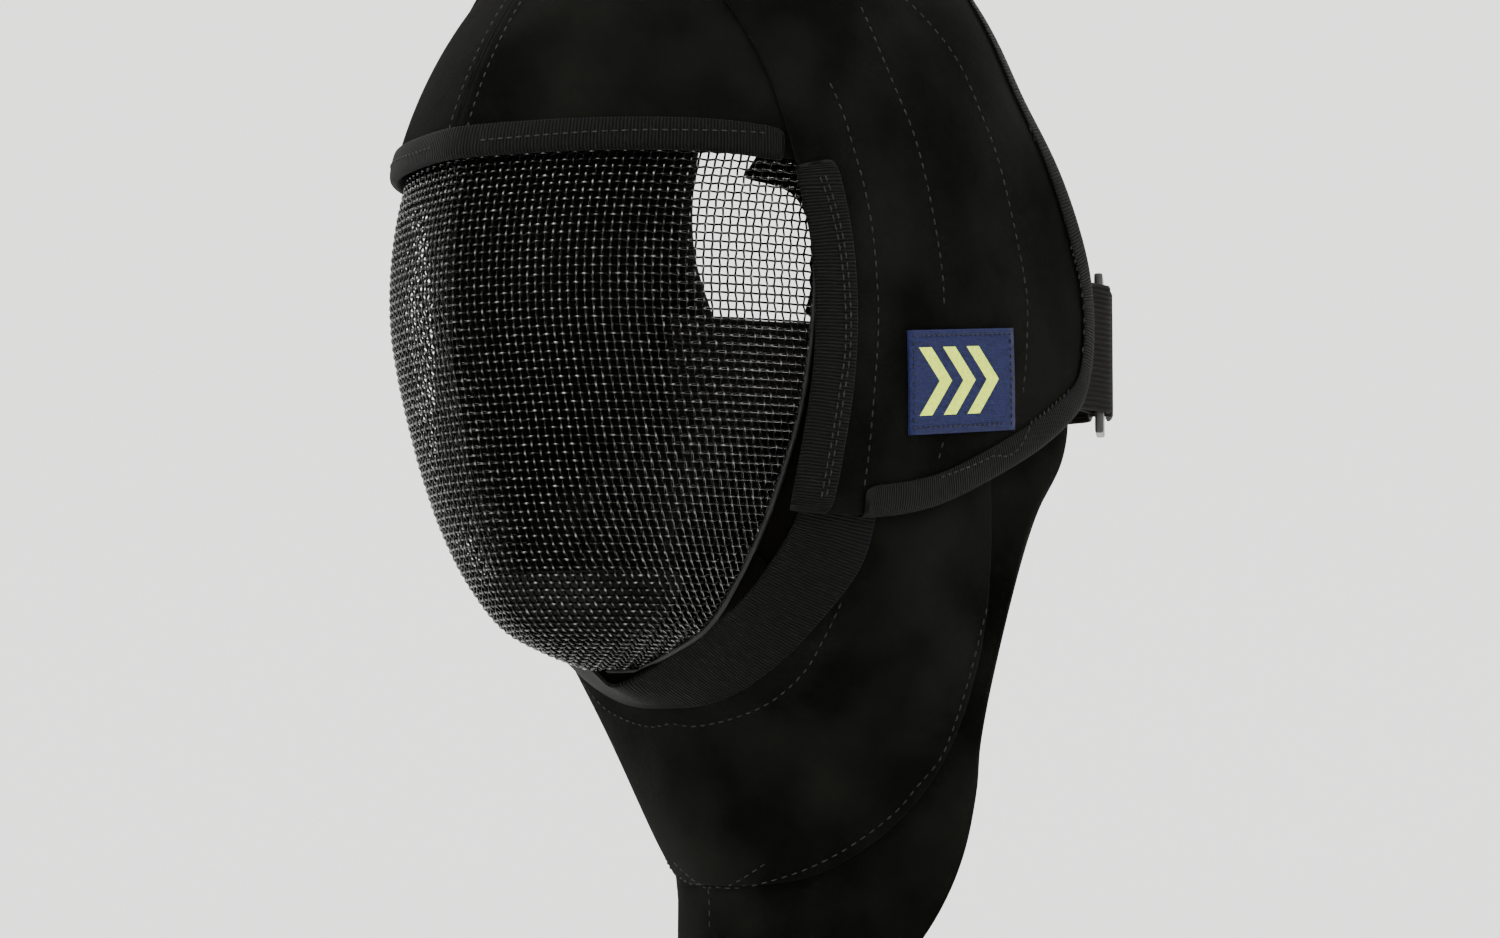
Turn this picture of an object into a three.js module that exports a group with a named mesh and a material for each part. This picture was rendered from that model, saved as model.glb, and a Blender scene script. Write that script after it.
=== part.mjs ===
// A coach's fencing mask in millimetres: leather hood over a wire face, with a bib below.
// +Z is up, the face looks along -Y, the wearer's left is +X.
// The origin is the inner face of the crown, where the mask sits on the head.
import * as THREE from 'three';

// Hood form, taken at the inner face of the side panels
const faceHalfWidth = 104.5;
const hoodStandOff = 0.5;
const hoodHalfWidth = faceHalfWidth + hoodStandOff;
const hoodFrontReach = 140.5;
const hoodRearReach = 152;
const crownHeight = 152;
const sideFullness = 2.15;
const frontFullness = 2.35;
const rearFullness = 5.5;
const crownRearFullness = 2.5;
const fullnessBlend = 0.45;
const crownShift = 14;
const rearLean = 0.2;
const foreheadRidge = 6;
const ridgeHalfWidth = 50;

// Wire face form, taken at its outer face
const faceReach = 142;
const faceRidge = 5;
const faceFullness = 2.16;
const chinDrop = 319;
const rimSetback = 51;

// Sheet thicknesses and clearances
const panelThickness = 2.2;
const foreheadThickness = 1.9;
const wireThickness = 1.8;
const edgeStripThickness = 1.2;
const chinTapeThickness = 1.6;
const bibThickness = 2.2;
const tongueThickness = 5;
const webbingThickness = 1.8;
const bindingThickness = 1.1;
const labelThickness = 1;
const padThickness = 8;
const clearance = 0.3;
const bindingClearance = 0.6;
const tuckClearance = 0.8;

// Edges of the leather, as widths and places
const foreheadBindingWidth = 10.5;
const frontBindingWidth = 16;
const edgeBindingWidth = 11.5;
const foreheadDrop = 127;
const foreheadDip = 3.5;
const panelBottomDrop = 257;
const foreheadTuck = 9;
const seamGap = 0.4;

// Bib
const bibDrop = 468;
const bibSeamDrop = 393;
const bibInset = 5;
const bibHalfWidth = hoodHalfWidth - bibInset;
const bibBulge = 4;
const bibTuck = 6;
const bibLayerGap = 1.6;
const bibWrapShare = 0.36;
const bibWrapReach = 26;
const bibWrapStraight = 10;

// Tongue, strap and buckle
const tongueHalfWidths = [42, 46, 52, 60, 70, 80, 68, 66, 66, 67, 69, 72, 75];
const tongueInset = 3.4;
const tongueEdgeInset = 2.5;
const strapWidth = 50;
const strapDrop = 184;
const strapStandOff = 6;
const strapReach = hoodRearReach + strapStandOff;
const buckleHeight = 60;
const buckleFoot = 3;
const buckleWidth = 24;
const buckleThickness = 3.4;
const buckleBar = 4.2;
const buckleAhead = 21;
const buckleSetback = hoodRearReach - buckleAhead;
const buckleOffset = 83.5;
const buckleTurn = 37;

// Label on the left side panel
const labelWidth = 60;
const labelHeight = 38;
const labelSetback = 19;
const labelDrop = 205;
const labelTilt = 5.5;

// Wire face: the coarse net that stands for the woven wire
const netColumns = 12;
const netRows = 11;
const netHoleShare = 0.6;

const colours = {
  leather: { color: 0x131312, roughness: 0.86, metalness: 0 },
  tape: { color: 0x1e1f1e, roughness: 0.78, metalness: 0 },
  wire: { color: 0x4a4a48, roughness: 0.42, metalness: 0.85 },
  webbing: { color: 0x1a1714, roughness: 0.8, metalness: 0 },
  plastic: { color: 0x24221f, roughness: 0.4, metalness: 0 },
  label: { color: 0x1c2350, roughness: 0.8, metalness: 0 },
  padding: { color: 0x22231f, roughness: 0.9, metalness: 0 },
};

// Hood below its widest level, as shares of the depth to the panel's bottom and of the hood's sizes
const hoodRows = [
  { depth: 0.0, width: 1.0, front: 1.0, rear: 1.0 },
  { depth: 0.35, width: 1.0, front: 1.0, rear: 1.0 },
  { depth: 0.6, width: 0.985, front: 0.99, rear: 0.99 },
  { depth: 0.8, width: 0.96, front: 0.97, rear: 0.98 },
  { depth: 1.0, width: 0.92, front: 0.95, rear: 0.97 },
];

// Wire face by horizontal sections, as shares of the chin drop, the half width, the reach and the ridge
const faceRows = [
  { along: 0.0, drop: 0.366, width: 0.966, reach: 0.974, ridge: 1.2 },
  { along: 0.1, drop: 0.44, width: 0.971, reach: 0.989, ridge: 1.1 },
  { along: 0.19, drop: 0.511, width: 0.98, reach: 1.0, ridge: 1.0 },
  { along: 0.28, drop: 0.58, width: 0.975, reach: 1.0, ridge: 1.0 },
  { along: 0.355, drop: 0.637, width: 0.952, reach: 0.979, ridge: 1.0 },
  { along: 0.43, drop: 0.694, width: 0.912, reach: 0.947, ridge: 0.9 },
  { along: 0.51, drop: 0.754, width: 0.838, reach: 0.919, ridge: 0.8 },
  { along: 0.6, drop: 0.817, width: 0.738, reach: 0.877, ridge: 0.6 },
  { along: 0.69, drop: 0.877, width: 0.618, reach: 0.817, ridge: 0.5 },
  { along: 0.79, drop: 0.931, width: 0.467, reach: 0.725, ridge: 0.4 },
  { along: 0.89, drop: 0.96, width: 0.27, reach: 0.61, ridge: 0.2 },
  { along: 1.0, drop: 0.979, width: 0.09, reach: 0.48, ridge: 0.0 },
];

// Side panel's edges in side view: setback from the crown axis as a share of the hood's reach,
// drop as a share of the panel's bottom drop
const overlapRows = [
  { setback: -0.577, drop: 0.0 },
  { setback: -0.535, drop: 0.14 },
  { setback: -0.507, drop: 0.272 },
  { setback: -0.465, drop: 0.385 },
  { setback: -0.437, drop: 0.498 },
];
const frontEdgeRows = [
  { setback: -0.387, drop: 0.634 },
  { setback: -0.377, drop: 0.778 },
  { setback: -0.394, drop: 0.9 },
  { setback: -0.405, drop: 1.0 },
];
const lowerEdgeRows = [
  { setback: -0.405, drop: 1.0 },
  { setback: -0.16, drop: 0.998 },
  { setback: 0.08, drop: 0.975 },
  { setback: 0.29, drop: 0.925 },
  { setback: 0.46, drop: 0.878 },
  { setback: 0.64, drop: 0.81 },
];
const rearEdgeRows = [
  { setback: 0.64, drop: 0.81 },
  { setback: 0.685, drop: 0.73 },
  { setback: 0.675, drop: 0.63 },
  { setback: 0.6, drop: 0.53 },
  { setback: 0.54, drop: 0.42 },
  { setback: 0.5, drop: 0.31 },
  { setback: 0.46, drop: 0.16 },
  { setback: 0.44, drop: 0.0 },
];

// Jaw from the middle of the chin to the cheek, as shares: across is of the hood's half width,
// ahead of the rim's setback, drop of the chin drop
const tapeTopRows = [
  { across: 0.0, ahead: 1.135, drop: 1.003 },
  { across: 0.15, ahead: 1.02, drop: 0.978 },
  { across: 0.4, ahead: 0.97, drop: 0.932 },
  { across: 0.56, ahead: 0.96, drop: 0.902 },
  { across: 0.71, ahead: 0.96, drop: 0.858 },
  { across: 0.84, ahead: 0.96, drop: 0.805 },
  { across: 0.885, ahead: 0.96, drop: 0.755 },
];
const tapeLowRows = [
  { across: 0.0, ahead: 0.56, drop: 1.022 },
  { across: 0.18, ahead: 0.52, drop: 1.02 },
  { across: 0.37, ahead: 0.49, drop: 1.0 },
  { across: 0.55, ahead: 0.46, drop: 0.964 },
  { across: 0.71, ahead: 0.4, drop: 0.916 },
  { across: 0.84, ahead: 0.29, drop: 0.858 },
  { across: 0.88, ahead: 0.22, drop: 0.785 },
];

// Lower seam of the upper bib and free edge of the lower bib, as shares of the bib's half width
// across, of the rim's setback (ahead is forward), and of the seam's or the bib's drop
const bibSeamRows = [
  { across: 0.0, ahead: 0.1, drop: 1.0 },
  { across: 0.35, ahead: -0.23, drop: 0.995 },
  { across: 0.49, ahead: -0.47, drop: 0.972 },
  { across: 0.6, ahead: -0.71, drop: 0.941 },
  { across: 0.75, ahead: -0.9, drop: 0.884 },
  { across: 0.82, ahead: -0.98, drop: 0.833 },
  { across: 0.88, ahead: -1.06, drop: 0.763 },
  { across: 0.9, ahead: -1.1, drop: 0.689 },
  { across: 0.89, ahead: -1.1, drop: 0.545 },
];
const bibEdgeRows = [
  { across: 0.0, ahead: -0.02, drop: 1.0 },
  { across: 0.3, ahead: -0.2, drop: 0.985 },
  { across: 0.52, ahead: -0.62, drop: 0.93 },
  { across: 0.66, ahead: -0.95, drop: 0.875 },
  { across: 0.75, ahead: -1.06, drop: 0.835 },
  { across: 0.82, ahead: -1.12, drop: 0.768 },
  { across: 0.9, ahead: -1.1, drop: 0.7 },
  { across: 0.94, ahead: -1.25, drop: 0.6 },
  { across: 0.955, ahead: -1.47, drop: 0.528 },
  { across: 0.95, ahead: -1.7, drop: 0.513 },
  { across: 0.9, ahead: -1.86, drop: 0.474 },
  { across: 0.84, ahead: -1.98, drop: 0.434 },
];

// Rear end of the bib's top edge under the side panel, as the jaw's rows
const bibTopEnd = [
  { across: 0.9, ahead: -0.3, drop: 0.745 },
  { across: 0.88, ahead: -0.85, drop: 0.668 },
];

// Strap round the back in plan, as shares of the hood's half width and the strap's reach
const strapRows = [
  { across: -0.93, back: 0.45 },
  { across: -0.9, back: 0.64 },
  { across: -0.85, back: 0.77 },
  { across: -0.74, back: 0.9 },
  { across: -0.45, back: 0.98 },
  { across: 0.0, back: 1.0 },
  { across: 0.4, back: 0.985 },
];

// Outer edge of the strip beside the wire, as the jaw's rows
const stripRows = [
  { across: 0.945, ahead: 0.81, drop: 0.416 },
  { across: 0.95, ahead: 0.81, drop: 0.52 },
  { across: 0.945, ahead: 0.81, drop: 0.63 },
  { across: 0.9, ahead: 0.83, drop: 0.72 },
  { across: 0.825, ahead: 0.88, drop: 0.785 },
  { across: 0.75, ahead: 0.88, drop: 0.835 },
  { across: 0.59, ahead: 0.88, drop: 0.888 },
  { across: 0.44, ahead: 0.9, drop: 0.917 },
];

const widestDrop = crownHeight;
const panelDepth = panelBottomDrop - widestDrop;

// Smooth value of a table's column at a place along its key column
function smooth(rows, key, column, place) {
  const last = rows.length - 1;
  let i = 0;
  while (i < last - 1 && place > rows[i + 1][key]) i += 1;
  const span = rows[i + 1][key] - rows[i][key];
  const t = THREE.MathUtils.clamp((place - rows[i][key]) / span, 0, 1);
  const slope = (j) => {
    const a = Math.max(j - 1, 0);
    const b = Math.min(j + 1, last);
    return (rows[b][column] - rows[a][column]) / (rows[b][key] - rows[a][key]);
  };
  const p = rows[i][column];
  const q = rows[i + 1][column];
  const pSlope = slope(i) * span;
  const qSlope = slope(i + 1) * span;
  const t2 = t * t;
  const t3 = t2 * t;
  return p * (2 * t3 - 3 * t2 + 1) + pSlope * (t3 - 2 * t2 + t) + q * (3 * t2 - 2 * t3) + qSlope * (t3 - t2);
}

// Height of the ridge down the middle of the face
function ridgeRise(x, rise) {
  const share = Math.max(0, 1 - Math.abs(x) / ridgeHalfWidth);
  return rise * share * share;
}

// Below one inside the smooth hood form, one on it
function hoodLevel(x, y, z) {
  const above = Math.max(0, (z + widestDrop) / crownHeight);
  if (above >= 1) return 2;
  const round = Math.sqrt(1 - above * above);
  const depth = THREE.MathUtils.clamp((-widestDrop - z) / panelDepth, 0, 1);
  const width = hoodHalfWidth * smooth(hoodRows, 'depth', 'width', depth) * round;
  const front = hoodFrontReach * smooth(hoodRows, 'depth', 'front', depth) * round;
  const rear = hoodRearReach * smooth(hoodRows, 'depth', 'rear', depth) * (1 - rearLean * above) * round;
  const ahead = crownShift * above - y;
  const blend = THREE.MathUtils.smoothstep(above, 0, fullnessBlend);
  const fullness = THREE.MathUtils.lerp(rearFullness, crownRearFullness, blend);
  const along = ahead > 0 ? (ahead / front) ** frontFullness : (-ahead / rear) ** fullness;
  return Math.abs(x / width) ** sideFullness + along;
}

// Rise of the forehead's ridge at a point of the hood
function foreheadRise(point) {
  const ahead = THREE.MathUtils.clamp(-point.y / hoodFrontReach, 0, 1);
  return ridgeRise(point.x, foreheadRidge) * ahead * ahead;
}

// Point of the smooth form moved out onto the ridge
function withRidge(point) {
  return point.setY(point.y - foreheadRise(point));
}

// Point moved onto the hood form, straight out from the axis, or from the centre in the dome
function toHood(point) {
  const lift = point.z > -widestDrop ? 1 : 0;
  const smoothY = point.y + foreheadRise(point);
  const at = (s) => {
    const z = lift ? -widestDrop + (point.z + widestDrop) * s : point.z;
    return new THREE.Vector3(point.x * s, smoothY * s, z);
  };
  let low = 0.2;
  let high = 3;
  for (let i = 0; i < 40; i += 1) {
    const middle = (low + high) / 2;
    const p = at(middle);
    if (hoodLevel(p.x, p.y, p.z) < 1) low = middle;
    else high = middle;
  }
  return withRidge(at(low));
}

// Point of the hood form seen from the side at a setback and drop
function hoodAtSide(setback, drop, side) {
  let low = 0;
  let high = hoodHalfWidth * 1.2;
  for (let i = 0; i < 40; i += 1) {
    const middle = (low + high) / 2;
    if (hoodLevel(middle, setback, -drop) < 1) low = middle;
    else high = middle;
  }
  return new THREE.Vector3(side * Math.max(low, seamGap / 2), setback, -drop);
}

// Point of the hood form on its top line at a setback
function hoodAtTop(setback, side) {
  let low = -widestDrop;
  let high = 0;
  for (let i = 0; i < 40; i += 1) {
    const middle = (low + high) / 2;
    if (hoodLevel(0, setback, middle) < 1) low = middle;
    else high = middle;
  }
  return withRidge(new THREE.Vector3((side * seamGap) / 2, setback, low));
}

// Curve through an edge table on the hood, its first or last row taken on the top line where its drop is 0
function hoodEdge(rows, side, count, shift = 0) {
  const points = rows.map((row) => {
    const reach = row.setback < 0 ? hoodFrontReach : hoodRearReach;
    const setback = row.setback * reach + shift;
    if (row.drop === 0) return hoodAtTop(setback, side);
    return hoodAtSide(setback, row.drop * panelBottomDrop, side);
  });
  const dense = new THREE.CatmullRomCurve3(points, false, 'centripetal');
  return dense.getSpacedPoints(count).map((p, i) => {
    if (i === 0) return points[0];
    if (i === count) return points[points.length - 1];
    return toHood(p);
  });
}

// Point of the wire face: along runs from brow to chin, turn from -1 at the right rim to 1 at the left
function facePoint(along, turn) {
  const drop = chinDrop * smooth(faceRows, 'along', 'drop', along);
  const above = Math.max(0, 1 - drop / crownHeight);
  const dome = Math.sqrt(1 - above * above);
  const shift = crownShift * above;
  const width = faceHalfWidth * smooth(faceRows, 'along', 'width', along) * dome;
  const reach = faceReach * smooth(faceRows, 'along', 'reach', along) * dome;
  const ridge = faceRidge * smooth(faceRows, 'along', 'ridge', along);
  const smoothReach = reach - ridge;
  const round = 2 / faceFullness;
  const rimTurn = Math.acos(Math.min((rimSetback + shift) / smoothReach, 0.999) ** (1 / round));
  const sine = Math.sin(rimTurn * turn);
  const x = width * Math.sign(sine) * Math.abs(sine) ** round;
  const y = shift - smoothReach * Math.cos(rimTurn * turn) ** round - ridgeRise(x, ridge);
  return new THREE.Vector3(x, y, -drop);
}

// Grid of points between four edges that share their corners: south and north run the same way,
// west and east run from south to north
function coons(south, north, west, east) {
  const columns = south.length - 1;
  const rows = west.length - 1;
  const grid = [];
  for (let j = 0; j <= rows; j += 1) {
    const v = j / rows;
    const row = [];
    for (let i = 0; i <= columns; i += 1) {
      const u = i / columns;
      const p = new THREE.Vector3();
      p.addScaledVector(south[i], 1 - v).addScaledVector(north[i], v);
      p.addScaledVector(west[j], 1 - u).addScaledVector(east[j], u);
      p.addScaledVector(south[0], -(1 - u) * (1 - v)).addScaledVector(south[columns], -u * (1 - v));
      p.addScaledVector(north[0], -(1 - u) * v).addScaledVector(north[columns], -u * v);
      row.push(p);
    }
    grid.push(row);
  }
  return grid;
}

// Unit normals of a grid of points
function gridNormals(grid) {
  const rows = grid.length - 1;
  const columns = grid[0].length - 1;
  return grid.map((row, j) => row.map((point, i) => {
    const across = grid[j][Math.min(i + 1, columns)].clone().sub(grid[j][Math.max(i - 1, 0)]);
    const down = grid[Math.min(j + 1, rows)][i].clone().sub(grid[Math.max(j - 1, 0)][i]);
    return across.cross(down).normalize();
  }));
}

// Grid moved along its normals by a length, or by a function of column and row shares
function offsetGrid(grid, distance) {
  const normals = gridNormals(grid);
  const rows = grid.length - 1;
  const columns = grid[0].length - 1;
  return grid.map((row, j) => row.map((point, i) => {
    const length = typeof distance === 'function' ? distance(i / columns, j / rows) : distance;
    return point.clone().addScaledVector(normals[j][i], length);
  }));
}

// Geometry from points and faces, each face a list of point numbers turned outward
function solid(points, faces) {
  const positions = [];
  for (const face of faces) {
    for (let k = 1; k < face.length - 1; k += 1) {
      for (const n of [face[0], face[k], face[k + 1]]) positions.push(points[n].x, points[n].y, points[n].z);
    }
  }
  const geometry = new THREE.BufferGeometry();
  geometry.setAttribute('position', new THREE.Float32BufferAttribute(positions, 3));
  if (volume(positions) < 0) turnInsideOut(geometry);
  geometry.computeVertexNormals();
  return geometry;
}

// Signed volume of a list of triangle corners
function volume(positions) {
  const a = new THREE.Vector3();
  const b = new THREE.Vector3();
  const c = new THREE.Vector3();
  let sum = 0;
  for (let i = 0; i < positions.length; i += 9) {
    a.fromArray(positions, i);
    b.fromArray(positions, i + 3);
    c.fromArray(positions, i + 6);
    sum += a.dot(b.cross(c)) / 6;
  }
  return sum;
}

function turnInsideOut(geometry) {
  const position = geometry.getAttribute('position');
  const corner = new THREE.Vector3();
  const other = new THREE.Vector3();
  for (let i = 0; i < position.count; i += 3) {
    corner.fromBufferAttribute(position, i + 1);
    other.fromBufferAttribute(position, i + 2);
    position.setXYZ(i + 1, other.x, other.y, other.z);
    position.setXYZ(i + 2, corner.x, corner.y, corner.z);
  }
}

// Closed sheet between an inner and an outer grid of the same size
function sheet(inner, outer) {
  const rows = inner.length;
  const columns = inner[0].length;
  const points = [...inner.flat(), ...outer.flat()];
  const at = (layer, j, i) => layer * rows * columns + j * columns + i;
  const faces = [];
  for (let j = 0; j < rows - 1; j += 1) {
    for (let i = 0; i < columns - 1; i += 1) {
      faces.push([at(1, j, i), at(1, j + 1, i), at(1, j + 1, i + 1), at(1, j, i + 1)]);
      faces.push([at(0, j, i), at(0, j, i + 1), at(0, j + 1, i + 1), at(0, j + 1, i)]);
    }
  }
  for (let i = 0; i < columns - 1; i += 1) {
    faces.push([at(0, 0, i), at(1, 0, i), at(1, 0, i + 1), at(0, 0, i + 1)]);
    faces.push([at(0, rows - 1, i), at(0, rows - 1, i + 1), at(1, rows - 1, i + 1), at(1, rows - 1, i)]);
  }
  for (let j = 0; j < rows - 1; j += 1) {
    faces.push([at(0, j, 0), at(0, j + 1, 0), at(1, j + 1, 0), at(1, j, 0)]);
    const last = columns - 1;
    faces.push([at(0, j, last), at(1, j, last), at(1, j + 1, last), at(0, j + 1, last)]);
  }
  return solid(points, faces);
}

// Closed solid through rings of points, each ring a closed section
function sweep(rings) {
  const count = rings[0].length;
  const points = rings.flat();
  const faces = [];
  for (let j = 0; j < rings.length - 1; j += 1) {
    for (let i = 0; i < count; i += 1) {
      const next = (i + 1) % count;
      faces.push([j * count + i, j * count + next, (j + 1) * count + next, (j + 1) * count + i]);
    }
  }
  const lastRing = (rings.length - 1) * count;
  for (const [a, b, c, e] of capQuads(count)) {
    faces.push([e, c, b, a]);
    faces.push([lastRing + a, lastRing + b, lastRing + c, lastRing + e]);
  }
  return solid(points, faces);
}

// Quads that close a folded section, whose first half runs out and whose second half runs back beside it
function capQuads(count) {
  const quads = [];
  for (let i = 0; i < count / 2 - 1; i += 1) quads.push([i, i + 1, count - 2 - i, count - 1 - i]);
  return quads;
}

// Binding folded round one edge of the hood: edge points, and a point inside the panel for each
function foldedBinding(edge, inside, panelLow, panelHigh, outerWidth, side = 0) {
  const innerWidth = Math.min(outerWidth, edgeBindingWidth) * 0.7;
  const near = panelLow - bindingClearance;
  const far = panelHigh + bindingClearance;
  const lip = bindingClearance + bindingThickness;
  const rings = edge.map((point, j) => {
    const next = edge[Math.min(j + 1, edge.length - 1)];
    const before = edge[Math.max(j - 1, 0)];
    const tangent = next.clone().sub(before).normalize();
    const inward = inside[j].clone().sub(point);
    inward.addScaledVector(tangent, -inward.dot(tangent)).normalize();
    const place = (along, height) => {
      const foot = toHood(point.clone().addScaledVector(inward, along));
      foot.addScaledVector(hoodNormal(foot), height);
      if (side !== 0) foot.x = side * Math.max(side * foot.x, seamGap / 2);
      return foot;
    };
    return [
      place(outerWidth, far + bindingThickness),
      place(outerWidth / 2, far + bindingThickness),
      place(-lip, far + bindingThickness * 0.6),
      place(-lip, near - bindingThickness * 0.6),
      place(innerWidth / 2, near - bindingThickness),
      place(innerWidth, near - bindingThickness),
      place(innerWidth, near),
      place(innerWidth / 2, near),
      place(-bindingClearance, near),
      place(-bindingClearance, far),
      place(outerWidth / 2, far),
      place(outerWidth, far),
    ];
  });
  return sweep(rings);
}

// Outward normal of the hood form
function hoodNormal(point) {
  const step = 0.5;
  const slope = (axis) => {
    const ahead = point.clone();
    const behind = point.clone();
    ahead[axis] += step;
    behind[axis] -= step;
    return hoodLevel(ahead.x, ahead.y, ahead.z) - hoodLevel(behind.x, behind.y, behind.z);
  };
  return new THREE.Vector3(slope('x'), slope('y'), slope('z')).normalize();
}

function piece(name, geometry, finish) {
  const mesh = new THREE.Mesh(geometry, new THREE.MeshStandardMaterial(colours[finish]));
  mesh.name = name;
  return mesh;
}

// Net of the wire face: a sheet with a hole through each cell that is not on its border
function netSheet(outer, inner) {
  const rows = outer.length;
  const columns = outer[0].length;
  const points = [];
  const number = new Map();
  const vertex = (key, place) => {
    if (!number.has(key)) {
      number.set(key, points.length);
      points.push(place());
    }
    return number.get(key);
  };
  const corner = (layer, j, i) => vertex(`c${layer},${j},${i}`, () => (layer ? inner : outer)[j][i]);
  const holeCorner = (layer, j, i, down, across) => vertex(`h${layer},${j},${i},${down},${across}`, () => {
    const grid = layer ? inner : outer;
    const middle = new THREE.Vector3();
    for (const [b, a] of [[0, 0], [0, 1], [1, 0], [1, 1]]) middle.addScaledVector(grid[j + b][i + a], 0.25);
    return middle.clone().lerp(grid[j + down][i + across], netHoleShare);
  });
  const around = [[0, 0], [1, 0], [1, 1], [0, 1]];
  const faces = [];
  for (let j = 0; j < rows - 1; j += 1) {
    for (let i = 0; i < columns - 1; i += 1) {
      const border = j === 0 || i === 0 || j === rows - 2 || i === columns - 2;
      for (const layer of [0, 1]) {
        const quads = [];
        if (border) quads.push(around.map(([b, a]) => corner(layer, j + b, i + a)));
        for (let k = 0; k < 4 && !border; k += 1) {
          const [b, a] = around[k];
          const [d, c] = around[(k + 1) % 4];
          quads.push([
            corner(layer, j + b, i + a),
            corner(layer, j + d, i + c),
            holeCorner(layer, j, i, d, c),
            holeCorner(layer, j, i, b, a),
          ]);
        }
        for (const quad of quads) faces.push(layer ? quad.reverse() : quad);
      }
      for (let k = 0; k < 4 && !border; k += 1) {
        const [b, a] = around[k];
        const [d, c] = around[(k + 1) % 4];
        faces.push([
          holeCorner(0, j, i, b, a),
          holeCorner(0, j, i, d, c),
          holeCorner(1, j, i, d, c),
          holeCorner(1, j, i, b, a),
        ]);
      }
    }
  }
  const wall = (j, i, b, a) => faces.push([corner(1, j, i), corner(1, b, a), corner(0, b, a), corner(0, j, i)]);
  for (let i = 0; i < columns - 1; i += 1) {
    wall(0, i + 1, 0, i);
    wall(rows - 1, i, rows - 1, i + 1);
  }
  for (let j = 0; j < rows - 1; j += 1) {
    wall(j, 0, j + 1, 0);
    wall(j + 1, columns - 1, j, columns - 1);
  }
  return solid(points, faces);
}

// Grid of the wire face, one solid border cell wide all round
function faceGrid() {
  const border = 0.12;
  const grid = [];
  for (let j = 0; j <= netRows + 1; j += 1) {
    const row = [];
    const along = j === 0 ? 0 : j > netRows ? 1 : 0.03 + (0.93 * (j - 1)) / (netRows - 1);
    for (let i = 0; i <= netColumns + 1; i += 1) {
      const turn = i === 0 ? -1 : i > netColumns ? 1 : (1 - border * 0.5) * ((2 * (i - 1)) / (netColumns - 1) - 1);
      row.push(facePoint(along, turn));
    }
    grid.push(row);
  }
  return grid;
}

function buildFaceMesh() {
  const outer = faceGrid();
  return [piece('face_mesh', netSheet(outer, offsetGrid(outer, wireThickness)), 'wire')];
}

// Side panel between its front edge, lower edge, rear edge and the seam over the crown
function sidePanelEdges(side) {
  const upperFront = hoodEdge(overlapRows, side, 9);
  const lowerFront = hoodEdge([overlapRows[overlapRows.length - 1], ...frontEdgeRows], side, 9);
  const front = [...upperFront, ...lowerFront.slice(1)];
  const rear = hoodEdge([...rearEdgeRows].reverse(), side, 18);
  const bottom = hoodEdge(lowerEdgeRows, side, 11);
  const top = [];
  for (let i = 0; i <= 11; i += 1) {
    const setback = THREE.MathUtils.lerp(front[0].y, rear[0].y, i / 11);
    top.push(hoodAtTop(setback, side));
  }
  return { front, rear, bottom, top };
}

function sidePanelGrid(side) {
  const { front, rear, bottom, top } = sidePanelEdges(side);
  const grid = coons(top, bottom, front, rear);
  return grid.map((row, j) => row.map((p, i) => {
    const onEdge = i === 0 || j === 0 || i === row.length - 1 || j === grid.length - 1;
    return onEdge ? p : toHood(p);
  }));
}

function hoodLayer(grid, low, high) {
  const lift = (height) => grid.map((row) => row.map((p) => {
    const lifted = p.clone().addScaledVector(hoodNormal(p), height);
    return Math.abs(p.x) <= seamGap ? lifted.setX(p.x) : lifted;
  }));
  return sheet(lift(low), lift(high));
}

function buildSidePanels() {
  return [1, -1].map((side) => {
    const name = side > 0 ? 'side_panel_left' : 'side_panel_right';
    return piece(name, hoodLayer(sidePanelGrid(side), 0, panelThickness), 'leather');
  });
}

function buildSideBindings() {
  const pieces = [];
  for (const side of [1, -1]) {
    const hand = side > 0 ? 'left' : 'right';
    const grid = sidePanelGrid(side);
    const rows = grid.length - 1;
    const columns = grid[0].length - 1;
    const front = [];
    const frontInside = [];
    const firstRow = Math.ceil(rows / 2);
    for (let j = firstRow; j <= rows; j += 1) {
      const start = j === firstRow ? 0.3 : 0;
      const below = Math.min(j + 1, rows);
      front.push(grid[j][0].clone().lerp(grid[below][0], start));
      frontInside.push(grid[j][2].clone().lerp(grid[below][2], start));
    }
    pieces.push(piece(`side_front_binding_${hand}`,
      foldedBinding(front, frontInside, 0, panelThickness, frontBindingWidth, side), 'tape'));
    const edge = [];
    const edgeInside = [];
    for (let i = 2; i <= columns; i += 1) {
      edge.push(grid[rows][i]);
      edgeInside.push(grid[rows - 2][i === columns ? i - 1 : i]);
    }
    for (let j = rows - 1; j >= 0; j -= 1) {
      edge.push(grid[j][columns]);
      edgeInside.push(grid[j][columns - 2]);
    }
    pieces.push(piece(`side_edge_binding_${hand}`,
      foldedBinding(edge, edgeInside, 0, panelThickness, edgeBindingWidth, side), 'tape'));
  }
  return pieces;
}

// Point of the hood form at a level, on a bearing from straight ahead
function hoodAtLevel(drop, bearing, side) {
  const x = side * Math.sin(bearing);
  const y = -Math.cos(bearing);
  let low = 0;
  let high = hoodRearReach * 1.5;
  for (let i = 0; i < 40; i += 1) {
    const middle = (low + high) / 2;
    if (hoodLevel(x * middle, y * middle, -drop) < 1) low = middle;
    else high = middle;
  }
  return withRidge(new THREE.Vector3(x * low, y * low, -drop));
}

// Bearing at which the hood form at a level reaches a setback
function bearingOfSetback(drop, setback) {
  let low = 0;
  let high = Math.PI;
  for (let i = 0; i < 40; i += 1) {
    const middle = (low + high) / 2;
    if (hoodAtLevel(drop, middle, 1).y < setback) low = middle;
    else high = middle;
  }
  return low;
}

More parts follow.
